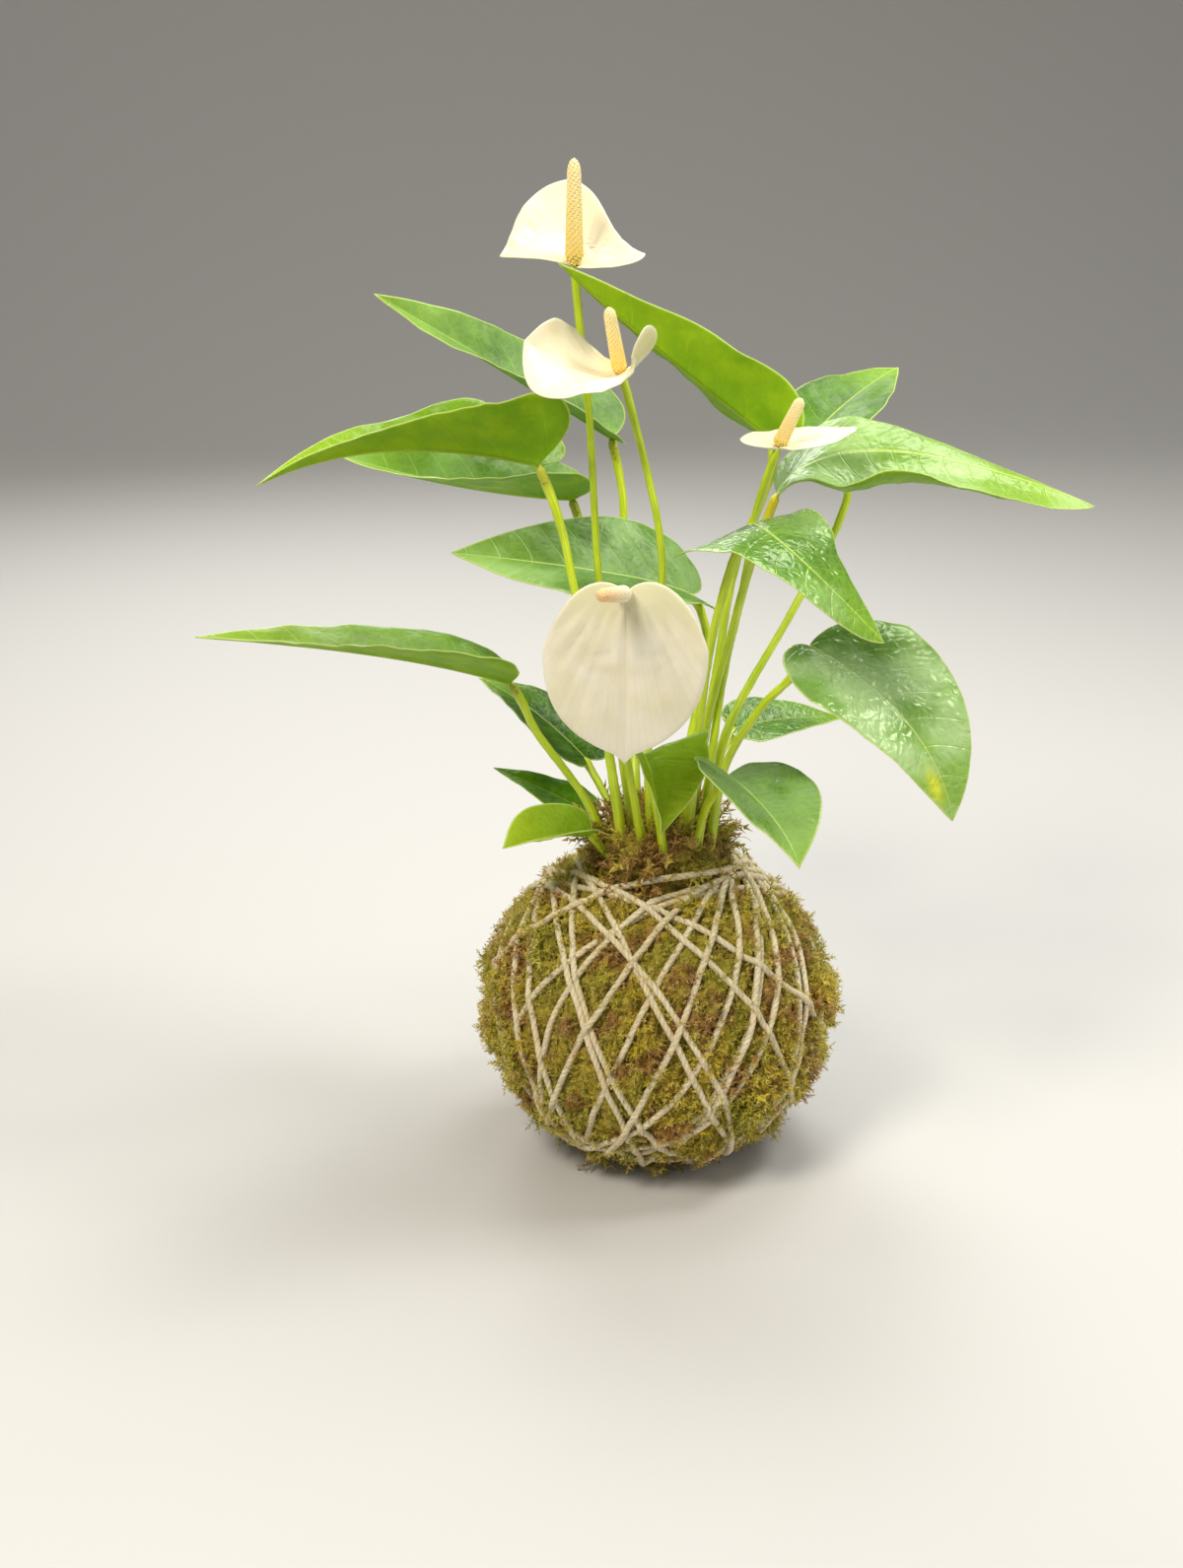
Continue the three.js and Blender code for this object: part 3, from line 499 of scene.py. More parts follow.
flowerTable = [
    dict(base=(-0.03, 0.003, 0.317), bend=(-0.0315, 0.0145, 0.3205), tip=(-0.031, 0.0305, 0.3425),
         face=((0.09, -0.48, 0.87), (-0.02, -0.96, 0.29)), width=(0.0485, 0.047),
         lobe=(0.0005, 0.0045), belly=(0.09, 0.08), shoulder=(0.35, 0.38), flare=(0.72, 0.42),
         corner=(0.12, 0.1), square=(0.43, 0.5), point=(0.42, 0.29), fold=(16, 6), curl=(-25, 3),
         spadix=((-0.03, 0.005, 0.35), 0.0029, 0.0019),
         stalk=((-0.009, -0.003, 0.118), (-0.017, 0, 0.174), (-0.022, 0.002, 0.214),
                (-0.025, 0.003, 0.266), (-0.028, 0.003, 0.295))),
    dict(base=(-0.015, -0.014, 0.285), bend=(-0.0215, -0.016, 0.28), tip=(-0.0455, -0.0245, 0.2965),
         face=((0.07, -0.29, 0.95), (-0.65, -0.52, 0.56)), width=(0.0445, 0.041),
         lobe=(0.0175, 0.002), belly=(0.51, 0.42), shoulder=(0.59, 0.49), flare=(1.1, 0.75),
         corner=(0.36, 0.2), square=(0.5, 0.37), point=(0.36, 0.34), fold=(17, -1), curl=(4, 10),
         lift=(0.012, 0.0055), spadix=((-0.019, -0.018, 0.306), 0.0024, 0.0018),
         stalk=((-0.003, -0.006, 0.118), (-0.005, -0.014, 0.164), (-0.001, -0.015, 0.21),
                (-0.002, -0.015, 0.233), (-0.007, -0.014, 0.256), (-0.012, -0.014, 0.275))),
    dict(base=(0.035, -0.03, 0.264), bend=(0.0435, -0.0255, 0.264), tip=(0.0615, -0.011, 0.267),
         face=((-0.1, -0.05, 0.99), (-0.14, 0.17, 0.97)), width=(0.033, 0.0295),
         lobe=(0.011, 0.001), belly=(0.29, 0.37), shoulder=(0.83, 0.49), flare=(1.25, 0.87),
         corner=(0.11, 0.52), square=0.48, point=(0.4, 0.19), fold=(10, 4),
         spadix=((0.042, -0.028, 0.279), 0.0024, 0.0017),
         stalk=((0.007, -0.003, 0.118), (0.015, -0.008, 0.162), (0.023, -0.012, 0.199),
                (0.027, -0.015, 0.219), (0.029, -0.018, 0.238), (0.032, -0.023, 0.252))),
    dict(base=(-0.014, -0.072, 0.227), bend=(-0.014, -0.075, 0.203), tip=(-0.014, -0.066, 0.172),
         face=((0, -0.97, 0.2), (0, -0.98, -0.1)), width=0.051, square=0.36,
         curl=-10, spadix=((-0.022, -0.094, 0.232), 0.0025, 0.0018),
         stalk=((-0.006, -0.013, 0.118), (-0.014, -0.038, 0.172), (-0.014, -0.056, 0.202),
                (-0.014, -0.066, 0.22))),
]


def cubic(a, b, c, d, t):
    return (1 - t) ** 3 * a + 3 * t * (1 - t) ** 2 * b + 3 * t * t * (1 - t) * c + t ** 3 * d


def halfOf(shape, side):
    # the form with the numbers of its left or its right half
    return {key: value[side] if isinstance(value, tuple) and len(value) == 2 else value
            for key, value in shape.items()}


def marginOf(shape, length, u):
    # margin of one half at share u of the way from the stalk round the lobe to the tip
    half, lobe = shape["width"] / 2, shape["lobe"]
    widest = shape["belly"] * length
    rest = length - widest
    split = bladeForm["lobeShare"]
    t = np.clip(u / split, 0, 1)
    s = np.clip((u - split) / (1 - split), 0, 1)
    along = np.where(
        u < split, cubic(0, -1.25 * lobe, -1.15 * lobe, widest, t),
        cubic(widest, widest + rest * shape["shoulder"], widest + 0.8 * rest, length, s))
    return along, half * np.where(
        u < split, cubic(0, shape["corner"], 2 * shape["square"], 1, t),
        cubic(1, shape["flare"], 2 * shape["point"], 0, s))


def midribOf(shape):
    base, bend, tip = (np.array(shape[key]) for key in ("base", "bend", "tip"))
    faces = np.array(shape["face"], float)
    shares = np.linspace(0, 1, 401)

    def curve(t):
        t = np.asarray(t)[..., None]
        return (1 - t) ** 2 * base + 2 * t * (1 - t) * bend + t ** 2 * tip

    reach = reachAlong(curve(shares))

    def frameAt(along):
        share = np.interp(np.clip(along, 0, reach[-1]), reach, shares)
        t = share[..., None]
        ahead = unit((bend - base) * (1 - t) + (tip - bend) * t)
        place = curve(share) + ahead * np.minimum(along, 0)[..., None]
        up = faces[0] * (1 - t) + faces[1] * t
        up = unit(up - ahead * (up * ahead).sum(-1, keepdims=True))
        return place, ahead, up, np.cross(ahead, up)
    return reach[-1], frameAt


def halfBlade(shape, midrib, side, u, spread):
    # points of the middle surface of one half, with how far along and across they lie
    shape, (length, frameAt) = halfOf(shape, side), midrib
    half = shape["width"] / 2
    edgeAlong, edgeOut = marginOf(shape, length, u)
    centre = length * u ** bladeForm["rowSpread"]
    along = centre[:, None] + (edgeAlong - centre)[:, None] * spread[None]
    reach = edgeOut[:, None] / half * spread[None]
    bent = np.sqrt(reach ** 2 + shape["crease"] ** 2) - shape["crease"]
    fold, curl = math.radians(shape["fold"]), math.radians(shape["curl"])
    out, rise = half * reach * math.cos(fold), half * bent * math.sin(fold)
    if abs(curl) > 1e-4:
        out = half * (np.sin(fold + curl * reach) - math.sin(fold)) / curl
        rise = half * (math.cos(fold) - np.cos(fold + curl * reach)) / curl
    ripple = 2 * np.pi * (shape["waves"] * along / length + shape["phase"]) + 1.7 * side
    rise = rise + shape["wave"] * reach ** 2 * np.sin(ripple)
    near = np.clip(1 - along / (bladeForm["liftReach"] * length), 0, 2)
    rise = rise + shape["lift"] * reach ** 2 * near ** 1.5
    place, _, up, right = frameAt(along)
    way = 1 if side else -1
    points = place + right * (way * out)[..., None] + up * rise[..., None]
    return points, along / length, way * reach, edgeOut[:, None] * (1 - spread[None])


def veinsOf(shape, along, across):
    # whole numbers where a side vein runs: in order along the midrib, fanned out in the lobes
    side = np.abs(across)
    start = along - 0.26 * side ** 1.35
    fan = start / np.maximum(side, 0.12) * shape["lobeVeins"]
    return np.where(start >= 0, start * shape["sideVeins"], fan)


def bladeGrid(shape):
    rows, columns = bladeForm["rows"], bladeForm["columns"]
    u = np.linspace(0, 1, rows + 1)
    spread = np.linspace(0, 1, columns + 1)
    midrib = midribOf(shape)
    left = [part[:, ::-1] for part in halfBlade(shape, midrib, 0, u, spread)]
    right = [part[:, 1:] for part in halfBlade(shape, midrib, 1, u, spread)]
    points, along, across, inside = (np.concatenate(pair, axis=1) for pair in zip(left, right))
    normal = np.cross(np.gradient(points, axis=1), np.gradient(points, axis=0))
    normal[0], normal[-1] = normal[1].mean(0), normal[-2].mean(0)
    return points, unit(normal), along, across, inside


def spotOn(shape, along, across):
    # a soft patch at a place along and across the blade, with its size and depth
    middle, aside, size, depth = shape["spot"]
    return depth * np.exp(-((along - middle) / size) ** 2 - ((across - aside) / (1.6 * size)) ** 2)


def makeBlade(shape):
    # two sheets with a rounded rim between them
    points, normal, along, across, inside = bladeGrid(shape)
    veins = veinsOf(shape, along, across)
    side = np.abs(across)
    rim = ease(inside, 0, bladeForm["rimWidth"])
    relief = shape["quilt"] * np.abs(np.sin(np.pi * veins)) ** 0.8 * ease(side, 0.03, 0.25)
    relief = relief * ease(inside, 0, bladeForm["quiltMargin"])
    wide, small = bladeForm["puckerWaves"]
    relief = relief + shape["pucker"] * rough(points, wide) * ease(side, 0, 0.5)
    relief = relief + 0.6 * shape["pucker"] * rough(points + 3, small) * ease(side, 0.1, 0.6)
    if "dents" in shape:
        relief = relief + shape["dents"](along, across)
    groove = np.exp(-(side / bladeForm["grooveWidth"]) ** 2) * ease(1 - along, 0, 0.4)
    relief = relief - bladeForm["groove"] * groove
    thick = shape["rim"] + (shape["thick"] - shape["rim"]) * rim
    rib = shape["rib"] * np.exp(-(side / bladeForm["ribWidth"]) ** 2) * np.clip(1.05 - along, 0, 1)
    middle = points + normal * relief[..., None]
    if "nib" in shape:
        aside = across * halfOf(shape, 0)["width"] / 2
        near = np.exp(-(aside / bladeForm["nibWidth"]) ** 2) * ease(along, 0.93, 1)
        ahead = unit(np.array(shape["tip"]) - np.array(shape["bend"]))
        middle = middle + ahead * (shape["nib"] * near)[..., None]
    upper = middle + normal * (thick / 2)[..., None]
    lower = middle - normal * (thick / 2 + rib)[..., None]

    height, width = along.shape
    ids = np.arange(height * width).reshape(height, width)
    ids[0], ids[-1] = ids[0, 0], ids[-1, 0]
    count = height * width
    faces = []
    for i in range(height - 1):
        for j in range(width - 1):
            quad = [ids[i, j], ids[i, j + 1], ids[i + 1, j + 1], ids[i + 1, j]]
            quad = [q for k, q in enumerate(quad) if q != quad[k - 1]]
            if len(quad) > 2:
                faces.append(quad)
                faces.append([q + count for q in reversed(quad)])
    loop = [*ids[:, 0], *ids[-2:0:-1, -1]]
    middleLoop = middle.reshape(-1, 3)[loop]
    outward = unit(np.roll(middleLoop, -1, 0) - np.roll(middleLoop, 1, 0))
    outward = np.cross(normal.reshape(-1, 3)[loop], outward)
    bulge = middleLoop + outward * bladeForm["bulge"] * shape["rim"]
    for k, here in enumerate(loop):
        after = loop[(k + 1) % len(loop)]
        a, b = 2 * count + k, 2 * count + (k + 1) % len(loop)
        faces.append([here, after, b, a])
        faces.append([a, b, after + count, here + count])
    every = np.vstack([upper.reshape(-1, 3), lower.reshape(-1, 3), bulge])

    def layer(values):
        flat = values.reshape(-1)
        return np.concatenate([flat, flat, flat[loop]])

    return meshFrom(
        every, faces, along=layer(along), across=layer(across), vein=layer(veins),
        inside=layer(inside * 1000), under=np.repeat([0, 1, 0], [count, count, len(loop)]),
        spot=layer(spotOn(shape, along, across)),
        **{key: shape[key] for key in ("tone", "pale", "sheen", "crinkle")})


def leafSkin():
    material, place = startMaterial("leafSkin")
    along, across, vein, inside, under = layers(place, "along across vein inside under")
    tone, pale, sheen, crinkle, spot = layers(place, "tone pale sheen crinkle spot")
    side = maths("ABSOLUTE", across)
    wave = maths("ABSOLUTE", maths("SINE", vein * math.pi))
    sideVein = between(wave, 0.01, 0.14, 1, 0) * between(side, 0.55, 1.0, 1, 0)
    rib = between(side + along * 0.012, 0.014, 0.034, 1, 0)
    patches, specks = mottle(place, 42, 0.3, 0.7), mottle(place, 520, 0.35, 0.7)
    blots = mottle(vectorMaths("ADD", place, (0.2, 0.4, 0.1)), 110, 0.35, 0.7)
    drift = noise(place, 90, 2)
    swing = vectorMaths("MULTIPLY", drift.also("Color"), (0.006, 0.006, 0.006))
    cells = addNode(place.tree, "ShaderNodeTexVoronoi", {
        "Vector": vectorMaths("ADD", place, swing), "Scale": 300}, feature="DISTANCE_TO_EDGE")
    cells = cells.also("Distance")
    net, domes = between(cells, 0, 0.12, 1, 0), between(cells, 0, 0.45)

    depth = maths("ADD", tone * 0.5, (patches + blots) * 0.24 + 0.22, use_clamp=True)
    top = coated(
        blend(depth, "#174600", "#6ca400"), (specks * 0.14, "#2a6400"), (net * 0.12, "#a6cc3a"),
        (sideVein * 0.24, "#b0d050"), (rib * 0.6, "#c4da6a"),
        (between(along, 0.45, 1, 0, 0.4), "#a0cc20"),
        # painted sheen: pale grey-green patches that stand in for reflected light
        (sheen * between(patches, 0.2, 0.9, 0.3, 1), "#b2cc94"), (spot, "#cfd22c"))
    back = coated(
        blend(blots * 0.45 + 0.2, "#5c9600", "#92b800"), (net * 0.1, "#4e7a00"),
        (sideVein * 0.14, "#c2d23c"), (rib * 0.5, "#bccc3a"))
    base = coated(
        blend(under, top, back), (pale * between(along, 0.1, 0.9, 0.5, 1), "#bccb00"),
        (between(inside, 0.1, 0.55, 1, 0) * 0.6, "#cfdc82"))
    dull = (specks + patches) * 0.1 + under * 0.25 + between(crinkle, 0.1, 0.9, 0.24, 0)
    ripple = maths("SINE", vein * (4 * math.pi) + drift * 22)
    ripple = ripple * (patches * 0.5) * between(side, 0.06, 0.3)
    relief = (domes + ripple) * crinkle - (sideVein * 0.5 + rib)
    return finish(
        material, Base_Color=base, Roughness=dull + 0.14, Normal=bump(relief, 0.00024, 0.85), IOR=1.45,
        Specular_Tint=(0.88, 1, 0.62, 1), Subsurface_Weight=0.2, Subsurface_Scale=0.0011,
        Subsurface_Radius=(0.7, 1.0, 0.2))


def spatheSkin():
    material, place = startMaterial("spatheSkin")
    along, across, tone, inside = layers(place, "along across tone inside")
    fan = maths("ARCTAN2", across, along + 0.2) * 12
    lines = between(maths("ABSOLUTE", maths("SINE", fan * math.pi)), 0, 0.35, 1, 0)
    base = coated(
        # the fold lines darkened: painted shade in the folds
        blend(mottle(place, 70, 0.3, 0.75), "#ece5d2", "#e2dabc"), (lines * 0.22, "#d4caa0"),
        # greener and darker at the foot: partly its own green, partly painted shade of the folded foot;
        # then the yellow tint
        (between(along, -0.05, 0.3, 1, 0) * 0.4, "#cfd08a"), (tone * 0.5, "#e6cf8c"),
        (between(inside, 0.1, 0.8, 1, 0) * 0.3, "#f6f1de"))
    return finish(
        material, Base_Color=base, Normal=bump(lines, 0.00015, -0.5), Roughness=0.42,
        Coat_Weight=0.15, Coat_Roughness=0.3, Subsurface_Weight=0.35, Subsurface_Scale=0.0016,
        Subsurface_Radius=(1.0, 0.9, 0.6))


# stalks

stalkForm = {
    "rootZ": 0.108, "rootPull": 0.84, "seat": 0.0003, "steps": 72, "sides": 14, "taperEnd": 0.4,
    "swellStart": 0.83, "roundEnd": 0.0022, "dentWaves": (0.006, 0.0023), "dents": (0.045, 0.03),
    "dentReach": 0.002,
}
leafStalk = {"root": 0.0021, "middle": 0.00145, "top": 0.0017}
flowerStalk = {"root": 0.0019, "middle": 0.00125, "top": 0.0014}


def makeStalk(shape, radii):
    first = np.array(shape["stalk"][0])
    root = np.array([*(first[:2] * stalkForm["rootPull"]), stalkForm["rootZ"]])
    _, _, up, _ = midribOf(shape)[1](np.array([0.0]))
    end = np.array(shape["base"]) - up[0] * stalkForm["seat"]
    path = curveThrough([root, *shape["stalk"], end], stalkForm["steps"])
    length = np.linalg.norm(np.diff(path, axis=0), axis=1).sum()
    share = np.linspace(0, 1, len(path))
    body = np.interp(share, [0, stalkForm["taperEnd"]], [radii["root"], radii["middle"]])
    swell = ease(share, stalkForm["swellStart"], 0.97)
    size = body + (radii["top"] - body) * swell
    size = size * np.sqrt(np.clip((1 - share) * length / stalkForm["roundEnd"], 0.12, 1))
    sides = stalkForm["sides"]
    turn, spokes = spokesOf(path, sides)
    lie = path[:, None] + stalkForm["dentReach"] * spokes
    (wide, small), (deep, shallow) = stalkForm["dentWaves"], stalkForm["dents"]
    dents = 1 + deep * rough(lie, wide) + shallow * rough(lie + 5, small)
    points, faces = tubeAlong(path, size, sides, dents)
    along = np.concatenate([np.repeat(share, sides), [0, 1]])
    turns = np.concatenate([np.tile(turn, len(path)), [0, 0]])
    return meshFrom(points, faces, along=along, turn=turns, mark=shape["joint"],
                    warm=shape["warm"], length=length * 1000)


def stalkSkin():
    material, place = startMaterial("stalkSkin")
    along, turn, mark, warm, length = layers(place, "along turn mark warm length")
    lie = combine(maths("COSINE", turn), maths("SINE", turn), along * (length * 0.05))
    fibres = streaks(lie, 3.2, 1.6)
    joint = between(along, 0.93, 0.965) * mark
    base = coated(
        blend(fibres, "#bad20a", "#deec3c"), (mottle(place, 85, 0.3, 0.7) * 0.35, "#84a408"),
        (between(along, 0, 0.3, 1, 0) * 0.5, "#b8b818"), (between(along, 0.72, 0.95) * warm, "#dcc41c"),
        (joint * (mottle(place, 700, 0.58, 0.66) * 0.6 + 0.35), "#6b4a22"))
    return finish(
        material, Base_Color=base, Normal=bump(fibres, 0.0002, 0.35), Roughness=0.38,
        Coat_Weight=0.2, Coat_Roughness=0.25, Subsurface_Weight=0.4, Subsurface_Scale=0.001,
        Subsurface_Radius=(0.8, 1.0, 0.3))


# what each leaf looks like beside its form: lighter tone, yellow at the tip, a painted grey sheen
# standing in for reflected light, how crinkled it is, a yellow spot, and a brown joint or a warm top on
# its stalk
leafLooks = {
    1: dict(tone=-0.05, pale=0.2), 2: dict(tone=-0.3, sheen=0.15, crinkle=0.15, joint=1),
    3: dict(tone=0.5, pale=0.22, joint=1), 4: dict(tone=0.15, sheen=0.2, crinkle=0.3, joint=1),
    5: dict(tone=0, sheen=0.35), 6: dict(tone=-0.1, pale=0.15, crinkle=0.3, joint=1),
    7: dict(tone=-0.5), 8: dict(tone=0.3), 9: dict(tone=0.1, pale=0.5, sheen=0.05),
    10: dict(tone=0.65, pale=0.6), 11: dict(tone=-0.1, sheen=0.3, crinkle=0.6),
    12: dict(tone=0.45, sheen=0.75, crinkle=0.9, spot=(0.83, 0.16, 0.07, 0.95)),
    13: dict(tone=0.1, sheen=0.3, crinkle=0.9),
    14: dict(tone=0.5, pale=0.1, sheen=0.5, quilt=0.0003, sideVeins=13, crinkle=0.6,
             warm=0.7),
    15: dict(tone=-0.15, crinkle=0.15, joint=1), 16: dict(tone=-0.3, sheen=0.2, crinkle=1),
}

skins = {"leaf": leafSkin(), "spathe": spatheSkin(), "stalk": stalkSkin()}

for number, entry in enumerate(leafTable, 1):
    form = {**leafForm, **leafLooks[number], **entry}
    addPiece(f"leafBlade{number:02d}", makeBlade(form), skins["leaf"], "leaf",
             f"leaf_blade_{number:02d}")
    addPiece(f"leafStalk{number:02d}", makeStalk(form, leafStalk), skins["stalk"], "stalk",
             f"leaf_stalk_{number:02d}")
print("leaves made:", len(leafTable))


def spatheGrooves(depth):
    # a few grooves that run out from the stalk and fade before the margin
    def dents(along, across):
        fan = np.arctan2(across, along + 0.16) * 5.2
        fade = ease(along + 0.2, 0.2, 0.4) * ease(0.85 - along, 0, 0.7) * ease(1 - np.abs(across), 0, 0.3)
        return -depth * np.exp(-((fan - np.round(fan)) / 0.16) ** 2) * fade
    return dents


# depth of the grooves, yellow tint and length of the small point at the tip
spatheLooks = {
    1: dict(dents=spatheGrooves(0.0006), tone=0.7), 2: dict(dents=spatheGrooves(0.0003), tone=0.5),
    3: dict(tone=0), 4: dict(dents=spatheGrooves(0.0014), nib=0.0024),
}

for number, entry in enumerate(flowerTable, 1):
    form = {**spatheForm, **spatheLooks[number], **entry}
    addPiece(f"spathe{number}", makeBlade(form), skins["spathe"], "spathe", f"spathe_{number}")
    addPiece(f"flowerStalk{number}", makeStalk(form, flowerStalk), skins["stalk"], "stalk",
             f"flower_stalk_{number}")
print("flowers made:", len(flowerTable))


# geometry node trees

def startTree(name, **inputs):
    tree = bpy.data.node_groups.new(name, "GeometryNodeTree")
    inputs = {"Geometry": "Geometry", **inputs, "Material": "Material"}
    for socketName, kind in inputs.items():
        tree.interface.new_socket(socketName, in_out="INPUT", socket_type="NodeSocket" + kind)
    tree.interface.new_socket("Geometry", in_out="OUTPUT", socket_type="NodeSocketGeometry")
    source = tree.nodes.new("NodeGroupInput").outputs
    return tree, {socketName: Wire(tree, source[socketName]) for socketName in inputs}


def step(tree, kind, inputs=None, output=0, **settings):
    return addNode(tree, "GeometryNode" + kind, inputs, output, **settings)


def named(tree, name):
    return step(tree, "InputNamedAttribute", {"Name": name}, "Attribute", data_type="FLOAT")


def store(geometry, name, value, domain="INSTANCE"):
    return step(geometry.tree, "StoreNamedAttribute", {
        "Geometry": geometry, "Name": name, "Value": value}, data_type="FLOAT", domain=domain)


def thing(item):
    return step(item.tree, "ObjectInfo", {"Object": item}, "Geometry")


def randomBetween(low, high, seed):
    return addNode(seed.tree, "FunctionNodeRandomValue", {2: low, 3: high, "Seed": seed}, 1,
                   data_type="FLOAT")


def finishTree(tree, geometry, given, lowest):
    # real geometry, kept above the floor, with its material
    real = step(tree, "RealizeInstances", {"Geometry": geometry})
    place = addNode(tree, "ShaderNodeSeparateXYZ", {0: step(tree, "InputPosition")})
    lifted = combine(place, place.also("Y"), maths("MAXIMUM", place.also("Z"), lowest))
    real = step(tree, "SetPosition", {"Geometry": real, "Position": lifted})
    real = step(tree, "SetMaterial", {"Geometry": real, "Material": given["Material"]})
    feed(tree.nodes.new("NodeGroupOutput").inputs["Geometry"], real)
    return tree


def makeScatterTree():
    # copies of a shape that stand on a surface, smaller where they come near the cords
    tree, given = startTree(
        "scatter", Shape="Object", Cords="Object", Density="Float", Seed="Int", Smallest="Float",
        Largest="Float", Lean="Float", Near="Float", Far="Float")
    seed = given["Seed"]
    spread = step(tree, "DistributePointsOnFaces", {
        "Mesh": given["Geometry"], "Seed": seed, "Density": given["Density"] * named(tree, "cover")},
        "Points")
    near = step(tree, "Proximity", {0: thing(given["Cords"])}, "Distance", target_element="EDGES")
    room = between(near, given["Near"], given["Far"])
    size = randomBetween(given["Smallest"], given["Largest"], seed) * named(tree, "vigour") * room
    lean = given["Lean"] * randomBetween(0.15, 1.0, seed + 7)
    turn = combine(lean, 0.0, randomBetween(0.0, 2 * math.pi, seed + 13))
    turn = addNode(tree, "FunctionNodeEulerToRotation", {0: turn})
    turn = addNode(tree, "FunctionNodeRotateRotation", {
        "Rotation": spread.also("Rotation"), "Rotate By": turn}, rotation_space="LOCAL")
    copies = step(tree, "InstanceOnPoints", {
        "Points": spread, "Instance": thing(given["Shape"]), "Rotation": turn, "Scale": size,
        "Selection": maths("GREATER_THAN", room, 0.2)})
    copies = store(copies, "tint", randomBetween(0.0, 1.0, seed + 29))
    return finishTree(tree, copies, given, 0.0003)


def makeStudTree():
    # one copy of a shape on each point, turned outward
    tree, given = startTree("studs", Shape="Object", Seed="Int")
    outward = combine(*(named(tree, name) for name in ("outX", "outY", "outZ")))
    turn = addNode(tree, "FunctionNodeAlignRotationToVector", {"Vector": outward}, axis="Z")
    copies = step(tree, "InstanceOnPoints", {
        "Points": step(tree, "MeshToPoints", {"Mesh": given["Geometry"]}),
        "Instance": thing(given["Shape"]), "Rotation": turn, "Scale": named(tree, "size")})
    copies = store(copies, "tint", randomBetween(0.0, 1.0, given["Seed"]))
    return finishTree(tree, copies, given, 0.0)


def makeCordTree():
    # a twisted cord swept along closed paths
    tree, given = startTree("cordSweep", Profile="Object", Step="Float", Lay="Float")
    path = step(tree, "MeshToCurve", {"Mesh": given["Geometry"]})
    path = step(tree, "ResampleCurve", {"Curve": path, "Length": given["Step"]}, mode="LENGTH")
    run = step(tree, "SplineParameter", output="Length")
    turns = maths("ROUND", maths("DIVIDE", step(tree, "SplineLength", output="Length"), given["Lay"]))
    path = store(path, "run", run, "POINT")
    path = step(tree, "SetCurveTilt", {
        "Curve": path, "Tilt": run.also("Factor") * turns * (2 * math.pi)})
    ring = step(tree, "MeshToCurve", {"Mesh": thing(given["Profile"])})
    swept = step(tree, "CurveToMesh", {"Curve": path, "Profile Curve": ring})
    return finishTree(tree, swept, given, 0.0002)


scatterTree, studTree, cordTree = makeScatterTree(), makeStudTree(), makeCordTree()


def bake(source, tree, **values):
    # the mesh that a node tree makes from a source mesh
    carrier = link(bpy.data.objects.new("carrier", source))
    modifier = carrier.modifiers.new("nodes", "NODES")
    modifier.node_group = tree
    for item in tree.interface.items_tree:
        if item.in_out == "INPUT" and item.name in values:
            modifier[item.identifier] = values[item.name]
    bpy.context.view_layer.update()
    state = bpy.context.evaluated_depsgraph_get()
    mesh = bpy.data.meshes.new_from_object(
        carrier.evaluated_get(state), preserve_all_data_layers=True, depsgraph=state)
    bpy.data.objects.remove(carrier)
    return mesh


helpers = []


def helper(mesh):
    # an object that only the node trees read
    item = link(bpy.data.objects.new("helper", mesh))
    item.hide_render = True
    helpers.append(item)
    return item


# the moss ball

ball = {
    "radius": 0.061, "height": 0.0575, "centreZ": 0.0555, "wall": 0.0055, "mouthRadius": 0.0256,
    "lump": 0.0022, "rows": 110, "innerRows": 24, "segments": 240, "lowestRise": -1.45,
    "clumps": 0.0015, "grain": 0.0006, "floorFade": 0.006, "endFade": 0.08,
    # heights between which the moss and its fringe start, and where the fringe ends
    "mossStart": (0.0006, 0.004), "fringeStart": (0.001, 0.006), "fringeTop": 0.05,
    "fringeFade": 0.03,
}
neck = {
    "bottomZ": 0.104, "topZ": 0.1245, "lump": 0.0018, "clumps": 0.0013, "rows": 60, "segments": 150,
    # radius, share of the height, share of the lumps
    "rings": ((0.0246, 0, 0), (0.0246, 0.25, 0.4), (0.0236, 0.5, 1), (0.022, 0.78, 1),
              (0.0175, 0.97, 1), (0.0115, 1, 0)),
    "lid": (0.009, 0.006, 0.003), "lidRise": 0.0004,
    # heights between which the fibres start and between which they reach their full length
    "fibreStart": (0.1045, 0.108), "fibreFull": (0.1, 0.118),
}
cord = {
    "radius": 0.00126, "rest": 0.0614, "flatten": 0.0581 / 0.0614, "points": 360, "step": 0.0014,
    "lay": 0.0075, "wobble": 0.00035, "press": 0.0008, "pressWidth": 0.0022, "puff": 0.0018,
    "puffWidth": 0.006, "neckAngle": 24.8, "plies": 0.035, "sides": 12, "climb": 0.6,
    "highest": 0.002, "roll": 0.0003, "reachOver": 2.1, "slack": 3.2, "bridge": 0.6,
    "neckSoft": 0.025, "floorGap": 0.0002,
}
# each wrap of the twine: heading and slope of its axis in degrees, how far it lies off the
# centre and how deep the moss takes it in, in millimetres
wraps = [
    (122, 62, 2.0, 1.5), (162, 69, -1.8, 1.5), (-158, 62, 0.1, 1.2), (-70, 52, 0.5, 0.4),
    (-158, 66, -0.9, 0.6), (-146, 78, -16.6, 0.5), (-112, 62, 0.0, 0.3), (-132, 68, -4.0, 0.6),
    (52, 49, 13.7, 0.5), (126, 79, -11.8, 0.5), (-28, 73, -25.5, 0.6), (-20, 73, -23.8, 0.3),
    (-130, 58, 17.0, 0.2), (-156, 60, 13.2, 0.1), (-18, 65, 0.0, 0.3), (0, 71, -20.4, 0.1),
    (12, 66, -2.7, 0.1), (30, 67, -14.6, 0.0), (40, 63, 1.5, 0.2), (112, 50.5, 23.5, 0.0),
    (178, 68, 0.0, 0.0), (148, 67, 0.0, 0.0),
]
